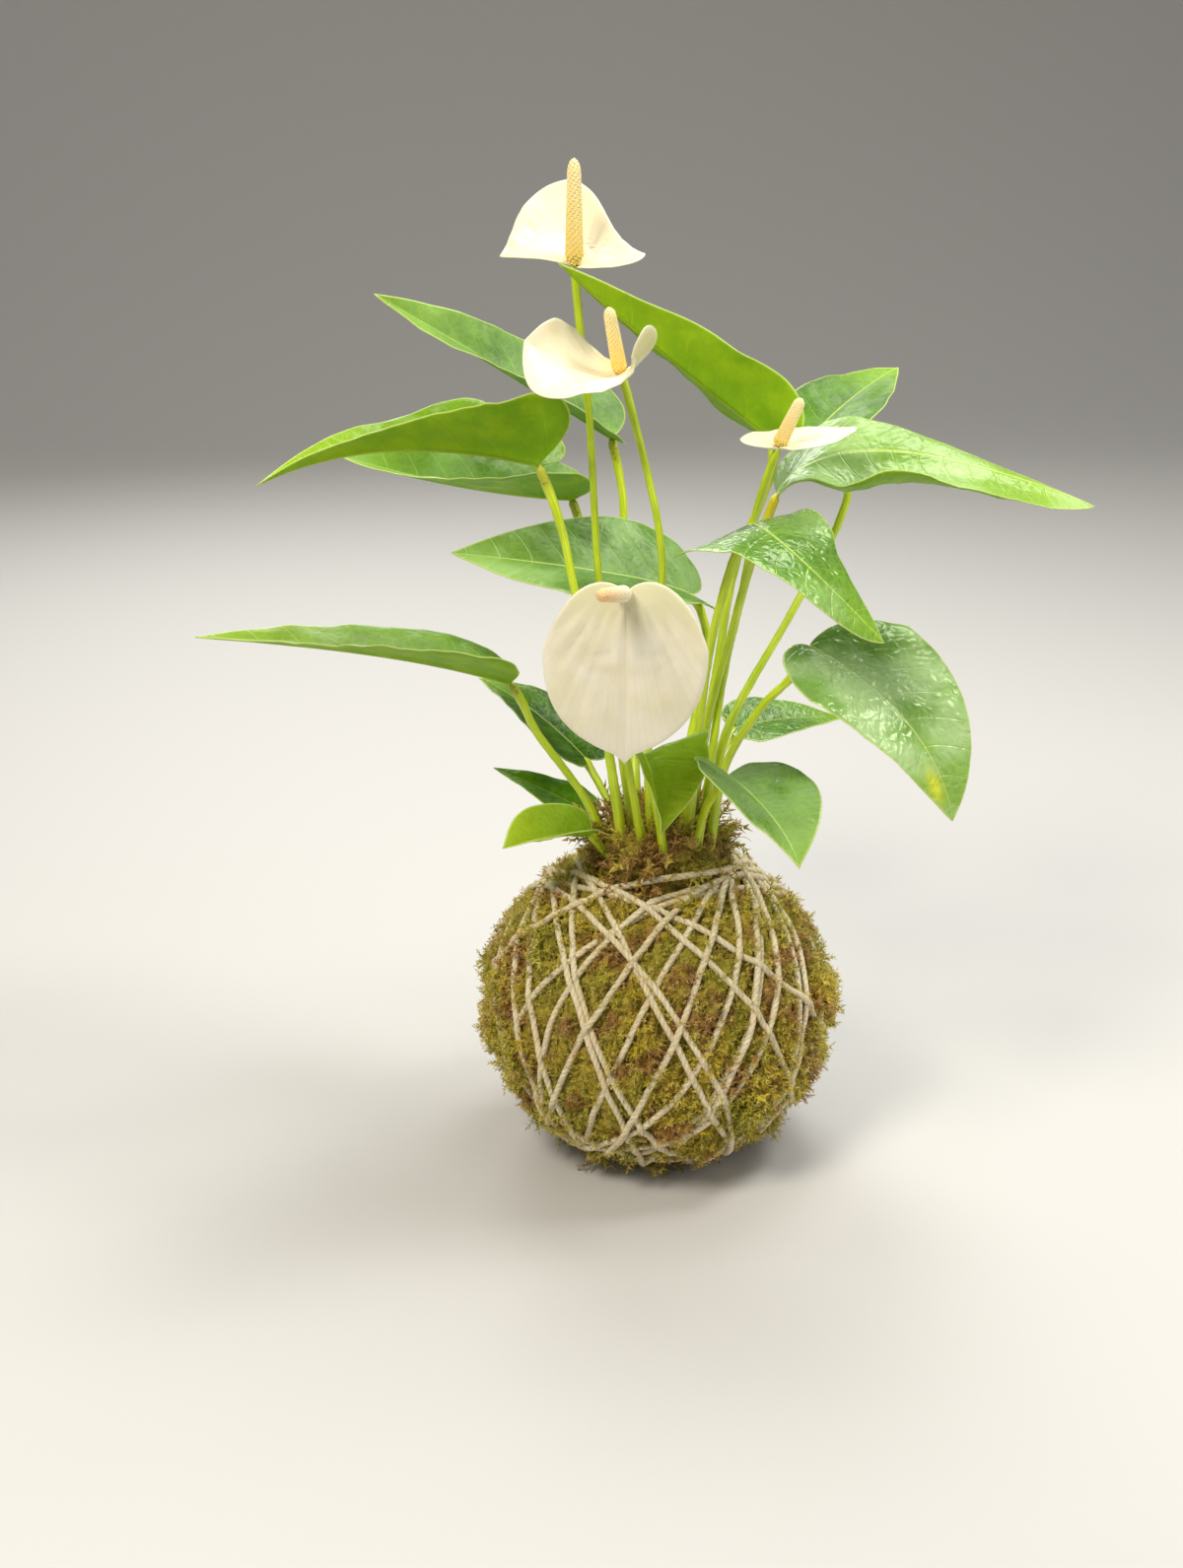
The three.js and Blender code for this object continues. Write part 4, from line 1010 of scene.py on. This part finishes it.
# the wrap that climbs over the foot of the neck, how far off its axis it lies, its rise, how
# softly it bends and between which heights the climb starts
overNeck = {"wrap": 19, "radius": 0.0262, "rise": 0.42, "soft": 0.002, "start": (0.08, 0.1)}


def lumps(angle, rise):
    slow = np.sin(3 * angle + 2.1 * rise) * np.cos(2.3 * rise + 0.7)
    quick = np.sin(7 * angle - 3.2 * rise) * np.sin(5.1 * rise + angle)
    return 0.5 + 0.28 * slow + 0.22 * quick


def wrapPath(heading, slope, offset, seed, neckAngle):
    # directions from the ball's centre to points along one wrap, which stays off the neck
    turn, tilt = math.radians(heading), math.radians(slope)
    axis = np.array([math.sin(tilt) * math.cos(turn), math.sin(tilt) * math.sin(turn), math.cos(tilt)])
    across = np.array([-math.sin(turn), math.cos(turn), 0])
    up = np.cross(axis, across)
    angle = np.linspace(0, 2 * np.pi, cord["points"], endpoint=False)
    circle = across * np.cos(angle)[:, None] + up * np.sin(angle)[:, None]
    aside = offset / 1000 + cord["wobble"] * (
        np.sin(3 * angle + seed) + 0.7 * np.sin(7 * angle + 2.3 * seed) + 0.3 * np.sin(17 * angle + seed))
    way = unit(circle * np.sqrt(cord["rest"] ** 2 - aside ** 2)[:, None] + axis * aside[:, None])
    least, soft = math.radians(neckAngle), cord["neckSoft"]
    polar = np.arccos(np.clip(way[:, 2], -1, 1))
    polar = least + soft * np.log1p(np.exp((polar - least) / soft))
    level = unit(way[:, :2]) * np.sin(polar)[:, None]
    return np.column_stack([level, np.cos(polar)])


def windTwine():
    # each wrap lies on the moss and climbs over the ones wound before it
    ways, reaches = [], []
    for i, (heading, slope, offset, sink) in enumerate(wraps):
        way = wrapPath(heading, slope, offset, 1.7 * i, 0 if i == overNeck["wrap"] else cord["neckAngle"])
        reach = cord["rest"] + cord["roll"] * rough(way * 0.06 + i, 0.03)
        reach = reach - sink / 1000 * ease(rough(way * 0.06 + 2 * i, 0.035), -0.6, 0.6)
        for other, below in zip(ways, reaches):
            apart = np.linalg.norm(way[:, None] - other[None], axis=2) * cord["rest"]
            nearest = apart.argmin(1)
            close = np.clip(1 - (apart.min(1) / (cord["reachOver"] * cord["radius"])) ** 2, 0, 1)
            over = below[nearest] + 2 * cord["radius"] * cord["climb"] * np.sqrt(close)
            reach = np.where(close > 0, np.maximum(reach, over), reach)
        reach = np.minimum(reach, cord["rest"] + cord["highest"])
        spread = np.exp(-(np.arange(-8, 9) / cord["slack"]) ** 2)
        padded = np.concatenate([reach[-8:], reach, reach[:8]])
        smooth = np.convolve(padded, spread / spread.sum(), "valid")
        reach = smooth + cord["bridge"] * np.maximum(reach - smooth, 0)
        ways.append(way)
        reaches.append(reach)
    loops = []
    for i, (way, reach) in enumerate(zip(ways, reaches)):
        points = way * reach[:, None]
        points[:, 2] = points[:, 2] * cord["flatten"] + ball["centreZ"]
        if i == overNeck["wrap"]:
            radius = np.linalg.norm(points[:, :2], axis=1)
            soft = overNeck["soft"]
            aside = soft * np.log1p(np.exp((overNeck["radius"] - radius) / soft))
            aside = aside * ease(points[:, 2], *overNeck["start"])
            points[:, 2] += overNeck["rise"] * aside
            points[:, :2] *= (1 + aside / np.maximum(radius, 0.001))[:, None]
        points[:, 2] = np.maximum(points[:, 2], cord["radius"] + cord["floorGap"])
        loops.append(points)
    return loops


twineLoops = windTwine()
twinePoints = np.vstack(twineLoops)
loopEdges = [(k * cord["points"] + i, k * cord["points"] + (i + 1) % cord["points"])
             for k in range(len(wraps)) for i in range(cord["points"])]
twineLines = meshFrom(twinePoints, [], loopEdges, closed=False)
twineTree = kdtree.KDTree(len(twinePoints))
for i, point in enumerate(twinePoints):
    twineTree.insert(point, i)
twineTree.balance()


def awayFromTwine(points):
    return np.array([twineTree.find(p)[2] for p in points])


def revolve(profile, segments):
    # closed solid of revolution from radius, z and depth of the lumps
    turn = np.linspace(0, 2 * np.pi, segments, endpoint=False)
    radius, z, depth = (np.array(column)[:, None] for column in zip(*profile))
    size = radius - depth * (1 - lumps(turn[None], z / 0.02))
    points = np.stack([size * np.cos(turn), size * np.sin(turn), z + 0 * turn[None]], axis=2)
    ends = [(0, 0, profile[0][1]), (0, 0, profile[-1][1])]
    return np.vstack([points.reshape(-1, 3), ends]), ringFaces(len(profile), segments)


def makeMossShell():
    outerMouth = math.acos(ball["mouthRadius"] / ball["radius"])
    inner = ball["radius"] - ball["wall"]
    innerMouth = math.acos(ball["mouthRadius"] / inner)
    flat = math.asin(-ball["centreZ"] / ball["height"])
    profile = []
    for rise in np.linspace(flat, outerMouth, ball["rows"]):
        ends = min(1, (rise - flat) / ball["endFade"], (outerMouth - rise) / ball["endFade"])
        profile.append((ball["radius"] * math.cos(rise),
                        ball["centreZ"] + ball["height"] * math.sin(rise), ball["lump"] * max(ends, 0)))
    for rise in np.linspace(innerMouth, ball["lowestRise"], ball["innerRows"]):
        profile.append((inner * math.cos(rise), ball["centreZ"]
                        + (ball["height"] - ball["wall"]) * math.sin(rise), 0))
    points, faces = revolve(profile, ball["segments"])
    outer = np.zeros(len(points))
    outer[:ball["rows"] * ball["segments"]] = 1
    outward = unit(points - np.array([0, 0, ball["centreZ"]]))
    apart = awayFromTwine(points)
    clump = rough(points, 0.008) + 0.5 * rough(points + 1, 0.0042)
    relief = ball["clumps"] * clump + ball["grain"] * rough(points + 2, 0.0028)
    relief = relief - cord["press"] * np.exp(-(apart / cord["pressWidth"]) ** 2)
    relief = relief + cord["puff"] * (1 - np.exp(-(apart / cord["puffWidth"]) ** 2))
    relief = relief * outer * ease(points[:, 2], 0, ball["floorFade"])
    points = points + outward * relief[:, None]
    cover = outer * ease(points[:, 2], *ball["mossStart"])
    vigour = 0.85 + 0.22 * clump + 0.3 * rough(points + 7, 0.05)
    return meshFrom(points, faces, cover=cover, height=0, tint=0.5, clump=0.5 + 0.4 * clump,
                    vigour=np.clip(vigour, 0.65, 1.5))


def makeNeckCore():
    share = np.linspace(0, 1, neck["rows"])
    rings = np.array(neck["rings"])
    profile = []
    for s in share:
        radius = np.interp(s, rings[:, 1], rings[:, 0])
        depth = np.interp(s, rings[:, 1], rings[:, 2]) * neck["lump"]
        profile.append((radius, neck["bottomZ"] + s * (neck["topZ"] - neck["bottomZ"]), depth))
    for radius in neck["lid"]:
        profile.append((radius, neck["topZ"] + neck["lidRise"], 0))
    points, faces = revolve(profile, neck["segments"])
    outward = unit(points - np.array([0, 0, neck["bottomZ"]]))
    free = ease(points[:, 2], *neck["fibreStart"])
    clump = rough(points, 0.009) + 0.5 * rough(points + 1, 0.004)
    points = points + outward * (neck["clumps"] * clump * free)[:, None]
    vigour = np.clip(0.95 + 0.3 * clump, 0.5, 1.5) * ease(points[:, 2], *neck["fibreFull"])
    return meshFrom(points, faces, cover=free, height=0, tint=0.5, clump=0.5 + 0.4 * clump,
                    vigour=vigour)


sprigForm = {"leaflets": 9, "width": 0.1, "stem": 0.035}


def makeSprig(seed, length, bow):
    # a small stem with leaflets, one unit long
    leaflets, width, thin = sprigForm["leaflets"], sprigForm["width"], sprigForm["stem"]
    rng = random.Random(seed)
    points, faces, height = [], [], []

    def add(corners, sides, level):
        start = len(points)
        points.extend(corners)
        faces.extend([[start + k for k in face] for face in sides])
        height.extend(level)

    def stemAt(share):
        return Vector((bow * share ** 1.6, 0.06 * math.sin(4 * share + seed), share * (1 - 0.25 * share)))

    rings = []
    for share in (0, 0.5):
        middle = stemAt(share)
        rings += [middle + Vector((thin * math.cos(a), thin * math.sin(a), 0)) * (1 - share)
                  for a in (0, 2.1, 4.2)]
    add([*rings, stemAt(1)], [(0, 2, 1), (0, 1, 4, 3), (1, 2, 5, 4), (2, 0, 3, 5), (3, 4, 6), (4, 5, 6),
                              (5, 3, 6)], [0, 0, 0, 0.5, 0.5, 0.5, 1])
    for i in range(leaflets):
        share = 0.18 + 0.78 * i / leaflets
        foot = stemAt(share)
        turn = 2.4 * i + rng.uniform(-0.4, 0.4)
        out = Vector((math.cos(turn), math.sin(turn), rng.uniform(0.5, 1.1))).normalized()
        aside = out.cross(Vector((0, 0, 1))).normalized()
        over = aside.cross(out)
        size = length * rng.uniform(0.7, 1.15) * (1.1 - 0.5 * share)
        add([foot - aside * width * 0.5, foot + aside * width * 0.5, foot + over * width * 0.35,
             foot + out * size], [(0, 1, 2), (0, 3, 1), (1, 3, 2), (2, 3, 0)],
            [share * 0.7, share * 0.7, share * 0.7, min(share + 0.3, 1)])
    return helper(meshFrom(points, faces, smooth=False, height=height))


def makeFibre(seed):
    rng = random.Random(seed)
    a, b = rng.uniform(0, 6), rng.uniform(0, 6)
    path = np.array([[0.16 * math.sin(3.2 * s + a) - 0.16 * math.sin(a),
                      0.14 * math.sin(4.1 * s + b) - 0.14 * math.sin(b), s] for s in np.linspace(0, 1, 8)])
    points, faces = tubeAlong(path, [0.013, 0.016, 0.016, 0.015, 0.014, 0.012, 0.009, 0.004], 3)
    return helper(meshFrom(points, faces, height=points[:, 2]))


# greens: two greens and a bright one; brownsAndShade: two browns and the dark colour of the painted shade
def mossSkin(name, greens, brownsAndShade, brownShare):
    material, place = startMaterial(name)
    tint, height, clump = layers(place, "tint height clump")
    fine, fuzz = mottle(place, 260, 0.35, 0.65), mottle(place, 900, 0.3, 0.7)
    brown = mottle(vectorMaths("ADD", place, (0.3, 0.1, 0.2)), 75, brownShare, brownShare + 0.12)
    green = blend(mottle(place, 55, 0.3, 0.7), greens[0], greens[1])
    dark = blend(fine, brownsAndShade[0], brownsAndShade[1])
    # painted shade: darker at the foot of each copy, on the bare shell between them and in the hollows
    # between clumps
    deep = maths("MAXIMUM", between(height, 0, 0.6, 1, 0) * 0.42, between(clump, 0.05, 0.5, 0.32, 0))
    # height above the floor, for the painted shade that darkens the moss towards the floor
    level = addNode(place.tree, "ShaderNodeSeparateXYZ", {"Vector": place}, "Z")
    base = coated(
        green, (tint * 0.6, greens[2]), (brown * between(tint, 0, 0.6, 1, 0.7), dark),
        (deep, brownsAndShade[2]), (fuzz * 0.2, brownsAndShade[2]), (between(level, 0, 0.026, 0.6, 0), brownsAndShade[2]))
    return finish(
        material, Base_Color=base, Normal=bump(fine + fuzz, 0.0008, 0.9), Roughness=0.85,
        Specular_IOR_Level=0.25, Subsurface_Weight=0.3, Subsurface_Scale=0.0012,
        Subsurface_Radius=(1.0, 1.0, 0.4))


def twineSkin():
    material, place = startMaterial("twineSkin")
    run, turn = layers(place, "run turn")
    # the valleys between the plies, dented and darkened with painted shade
    shadedValley = between(maths("COSINE", turn * 3), -1, 0.1, 1, 0)
    fibres = streaks(combine(maths("COSINE", turn), maths("SINE", turn), run * 120), 7.0, 1.5)
    base = coated(
        blend(mottle(place, 90, 0.3, 0.7), "#fff0c8", "#f0dcaa"), (fibres * 0.35, "#fff8e4"),
        (shadedValley * 0.3, "#b5a075"))
    return finish(
        material, Base_Color=base, Normal=bump(fibres - shadedValley * 0.6, 0.0002, 0.8), Roughness=0.9,
        Specular_IOR_Level=0.2, Subsurface_Weight=0.1, Subsurface_Scale=0.0006)


def soilSkin():
    material, place = startMaterial("soilSkin")
    grains = mottle(place, 380, 0.35, 0.65)
    base = coated(blend(grains, "#2a1d12", "#4a3522"), (mottle(place, 60, 0.3, 0.7) * 0.5, "#1c130c"))
    return finish(material, Base_Color=base, Normal=bump(grains, 0.001, 1.0), Roughness=0.95)


cordLines = helper(twineLines)
# the skin, slot and node of the pieces of the cover and of the neck
coverPart = (mossSkin("mossSkin", ("#b2ac14", "#eecc2c", "#fff080"),
                      ("#bc7434", "#dca470", "#58420f"), 0.51), "moss", "moss_cover")
neckPart = (mossSkin("neckSkin", ("#a09a1e", "#ccb036", "#ead268"),
                     ("#96602a", "#c8905c", "#46300f"), 0.46), "neck_fibre", "neck_moss")


def grow(name, ground, part, shape, seed, density, smallest, largest, lean, near=0.0, far=0.0008):
    # copies of a shape on a ground, so many on a square metre, with their least and largest size,
    # how far they lean and how far from the twine they start and are full grown
    mesh = bake(ground, scatterTree, Shape=shape, Cords=cordLines, Seed=seed, Density=density,
                Smallest=smallest, Largest=largest, Lean=lean, Near=near, Far=far, Material=part[0])
    addPiece(name, mesh, *part)


def fringeGround(shell):
    # the shell with moss only on its lowest part, above the floor
    ground = shell.copy()
    places = np.empty(3 * len(ground.vertices), np.float32)
    cover = np.empty(len(ground.vertices), np.float32)
    ground.vertices.foreach_get("co", places)
    ground.attributes["cover"].data.foreach_get("value", cover)
    heights = places[2::3]
    low = ease(heights, *ball["fringeStart"]) * ease(ball["fringeTop"] - heights, 0, ball["fringeFade"])
    ground.attributes["cover"].data.foreach_set("value", cover * low.astype(np.float32))
    return ground


sprigShapes = [makeSprig(11 + i, 0.28 + 0.03 * i, 0.2 + 0.12 * i) for i in range(5)]
shell = makeMossShell()
addPiece("mossShell", shell, *coverPart)
for i in range(6):
    grow(f"mossSprigs{i}", shell, coverPart, sprigShapes[i % 5], 5 + i, 82000.0, 0.0032, 0.0068, 1.25,
         far=0.0024)
grow("mossWisps", shell, coverPart, sprigShapes[4], 19, 9000.0, 0.0052, 0.0088, 1.0, far=0.002)
grow("mossFringe", fringeGround(shell), coverPart, sprigShapes[3], 23, 26000.0, 0.0055, 0.0095, 1.5,
     -0.002, -0.001)
print("moss made")

core = makeNeckCore()
addPiece("neckCore", core, *neckPart)
fibreShapes = [makeFibre(40 + i) for i in range(2)]
# shape, how many on a square metre, least and largest size and how far they lean
tufts = [
    (sprigShapes[0], 220000.0, 0.003, 0.0062, 1.1), (sprigShapes[2], 60000.0, 0.006, 0.0105, 0.8),
    (fibreShapes[0], 50000.0, 0.005, 0.012, 1.3), (fibreShapes[1], 40000.0, 0.004, 0.009, 1.75),
    (sprigShapes[1], 50000.0, 0.008, 0.015, 0.5),
]
for i, (shape, *measures) in enumerate(tufts):
    grow(f"neckTufts{i}", core, neckPart, shape, 31 + i, *measures)
print("neck made")

# the twine's section, a ring with three plies
ringTurn = np.linspace(0, 2 * np.pi, cord["sides"], endpoint=False)
ringSize = cord["radius"] * (0.96 + cord["plies"] * np.cos(3 * ringTurn))
ring = meshFrom([(r * math.cos(a), r * math.sin(a), 0) for r, a in zip(ringSize, ringTurn)], [],
                [(i, (i + 1) % cord["sides"]) for i in range(cord["sides"])], closed=False,
                turn=ringTurn)
skins["twine"] = twineSkin()
twine = bake(twineLines, cordTree, Profile=helper(ring), Step=cord["step"], Lay=cord["lay"],
             Material=skins["twine"])
twine.polygons.foreach_set("use_smooth", [True] * len(twine.polygons))
addPiece("twineWraps", tidyMesh(twine), skins["twine"], "twine", "twine")
print("twine made")

soilPaint = soilSkin()
for item in bpy.data.objects:
    if item.name.startswith("soil_core"):
        item.data.materials.clear()
        item.data.materials.append(soilPaint)


# spadices

spadixForm = {"florets": 300, "goldenTurn": 2.399963, "roundStart": 0.86, "sides": 24, "rings": 60}


def makeFloret():
    points, faces = [], []
    for size, level in ((1.0, -0.5), (1.0, 0.15), (0.72, 0.42)):
        points += [(size * math.cos(a), size * math.sin(a), level)
                   for a in np.linspace(0, 2 * math.pi, 6, endpoint=False)]
    points.append((0, 0, 0.34))
    for k in range(6):
        after = (k + 1) % 6
        faces += [(k, after, after + 6, k + 6), (k + 6, after + 6, after + 12, k + 12),
                  (k + 12, after + 12, 18)]
    faces.append((5, 4, 3, 2, 1, 0))
    return helper(meshFrom(points, faces, smooth=False, height=[0] * 6 + [0.6] * 6 + [1] * 6 + [0.4]))


def spadixLine(shape):
    tip, root, top = shape["spadix"]
    _, _, up, _ = midribOf(shape)[1](np.array([0.0]))
    return np.array(shape["base"]) + up[0] * 0.0004, np.array(tip), root, top


def spadixSize(share, root, top):
    near = np.clip((share - spadixForm["roundStart"]) / (1 - spadixForm["roundStart"]), 0, 1)
    foot = 0.55 + 0.45 * ease(share, 0, 0.1)
    return (root + (top - root) * share) * np.maximum(np.sqrt(1 - near ** 2), 0.05) * foot


def spadixSkin(name, root, top):
    material, place = startMaterial(name)
    share, tint, height = layers(place, "share tint height")
    # the low parts of the florets take the root colour: painted shade in the gaps between them
    base = coated(blend(share, root, top), (tint * 0.3, "#f8e6a8"),
                  (between(height, 0, 0.6, 1, 0) * 0.35, root))
    return finish(material, Base_Color=base, Roughness=0.55, Subsurface_Weight=0.3,
                  Subsurface_Scale=0.001, Subsurface_Radius=(1.0, 0.8, 0.3))


def makeCore(start, end, root, top):
    share = np.sin(np.linspace(0, 1, spadixForm["rings"]) * np.pi / 2) ** 0.9
    path = start + (end - start) * share[:, None]
    points, faces = tubeAlong(path, spadixSize(share, root, top) * 0.93, spadixForm["sides"])
    shares = np.concatenate([np.repeat(share, spadixForm["sides"]), [0, 1]])
    # height 0.1 puts the core in the painted shade between the florets
    return meshFrom(points, faces, share=shares, tint=0.3, height=0.1)


def makeSpots(start, end, root, top):
    # the florets' places on a spiral round the core, each with its facing and size
    amount = spadixForm["florets"]
    share = ((np.arange(amount) + 0.5) / amount) ** 1.08
    turns = np.arange(amount) * spadixForm["goldenTurn"]
    side, other = sidesAlong(np.array([start, (start + end) / 2, end]))
    out = side[0] * np.cos(turns)[:, None] + other[0] * np.sin(turns)[:, None]
    size = spadixSize(share, root, top)
    spots = start + (end - start) * share[:, None] + out * (size * 0.95)[:, None]
    facing = unit(out + ease(share, 0.9, 1.0)[:, None] * unit(end - start) * 2)
    studs = 0.62 * np.sqrt(2 * np.pi * size.clip(0.0008) * np.linalg.norm(end - start) / amount)
    return meshFrom(spots, [], closed=False, outX=facing[:, 0], outY=facing[:, 1],
                    outZ=facing[:, 2], size=studs, share=share)


skins["spadix"] = spadixSkin("spadixSkin", "#f6cc58", "#fbecb4")
skins["frontSpadix"] = spadixSkin("frontSpadixSkin", "#f2e8cc", "#f0bc84")
floret = makeFloret()
for number, entry in enumerate(flowerTable, 1):
    line = spadixLine({**spatheForm, **entry})
    skin = skins["frontSpadix" if number == 4 else "spadix"]
    florets = bake(makeSpots(*line), studTree, Shape=floret, Seed=60 + number, Material=skin)
    addPiece(f"spadixCore{number}", makeCore(*line), skin, "spadix", f"spadix_{number}")
    addPiece(f"spadixFlorets{number}", florets, skin, "spadix", f"spadix_{number}")
print("spadices made")

for item in helpers:
    bpy.data.objects.remove(item)


# the room

sweep = {"front": -3, "back": 1.4, "bend": 1.1, "top": 4, "width": 4, "steps": 24}


def makeSweep():
    # a floor that bends up into a wall a long way behind the plant
    turn = np.linspace(0, np.pi / 2, sweep["steps"])
    line = [(sweep["front"], 0), *zip(sweep["back"] + sweep["bend"] * np.sin(turn),
                                      sweep["bend"] * (1 - np.cos(turn)))]
    line.append((sweep["back"] + sweep["bend"], sweep["top"]))
    points = [(x, y, z) for y, z in line for x in (-sweep["width"], sweep["width"])]
    faces = [(2 * i, 2 * i + 1, 2 * i + 3, 2 * i + 2) for i in range(len(line) - 1)]
    return meshFrom(points, faces, closed=False)


floor = link(bpy.data.objects.new("floor", makeSweep()))
floorPaint, _ = startMaterial("floorPaint")
floor.data.materials.append(finish(floorPaint, Base_Color="#c6c4bf", Roughness=0.75))
makeCamera()
makeLamps()
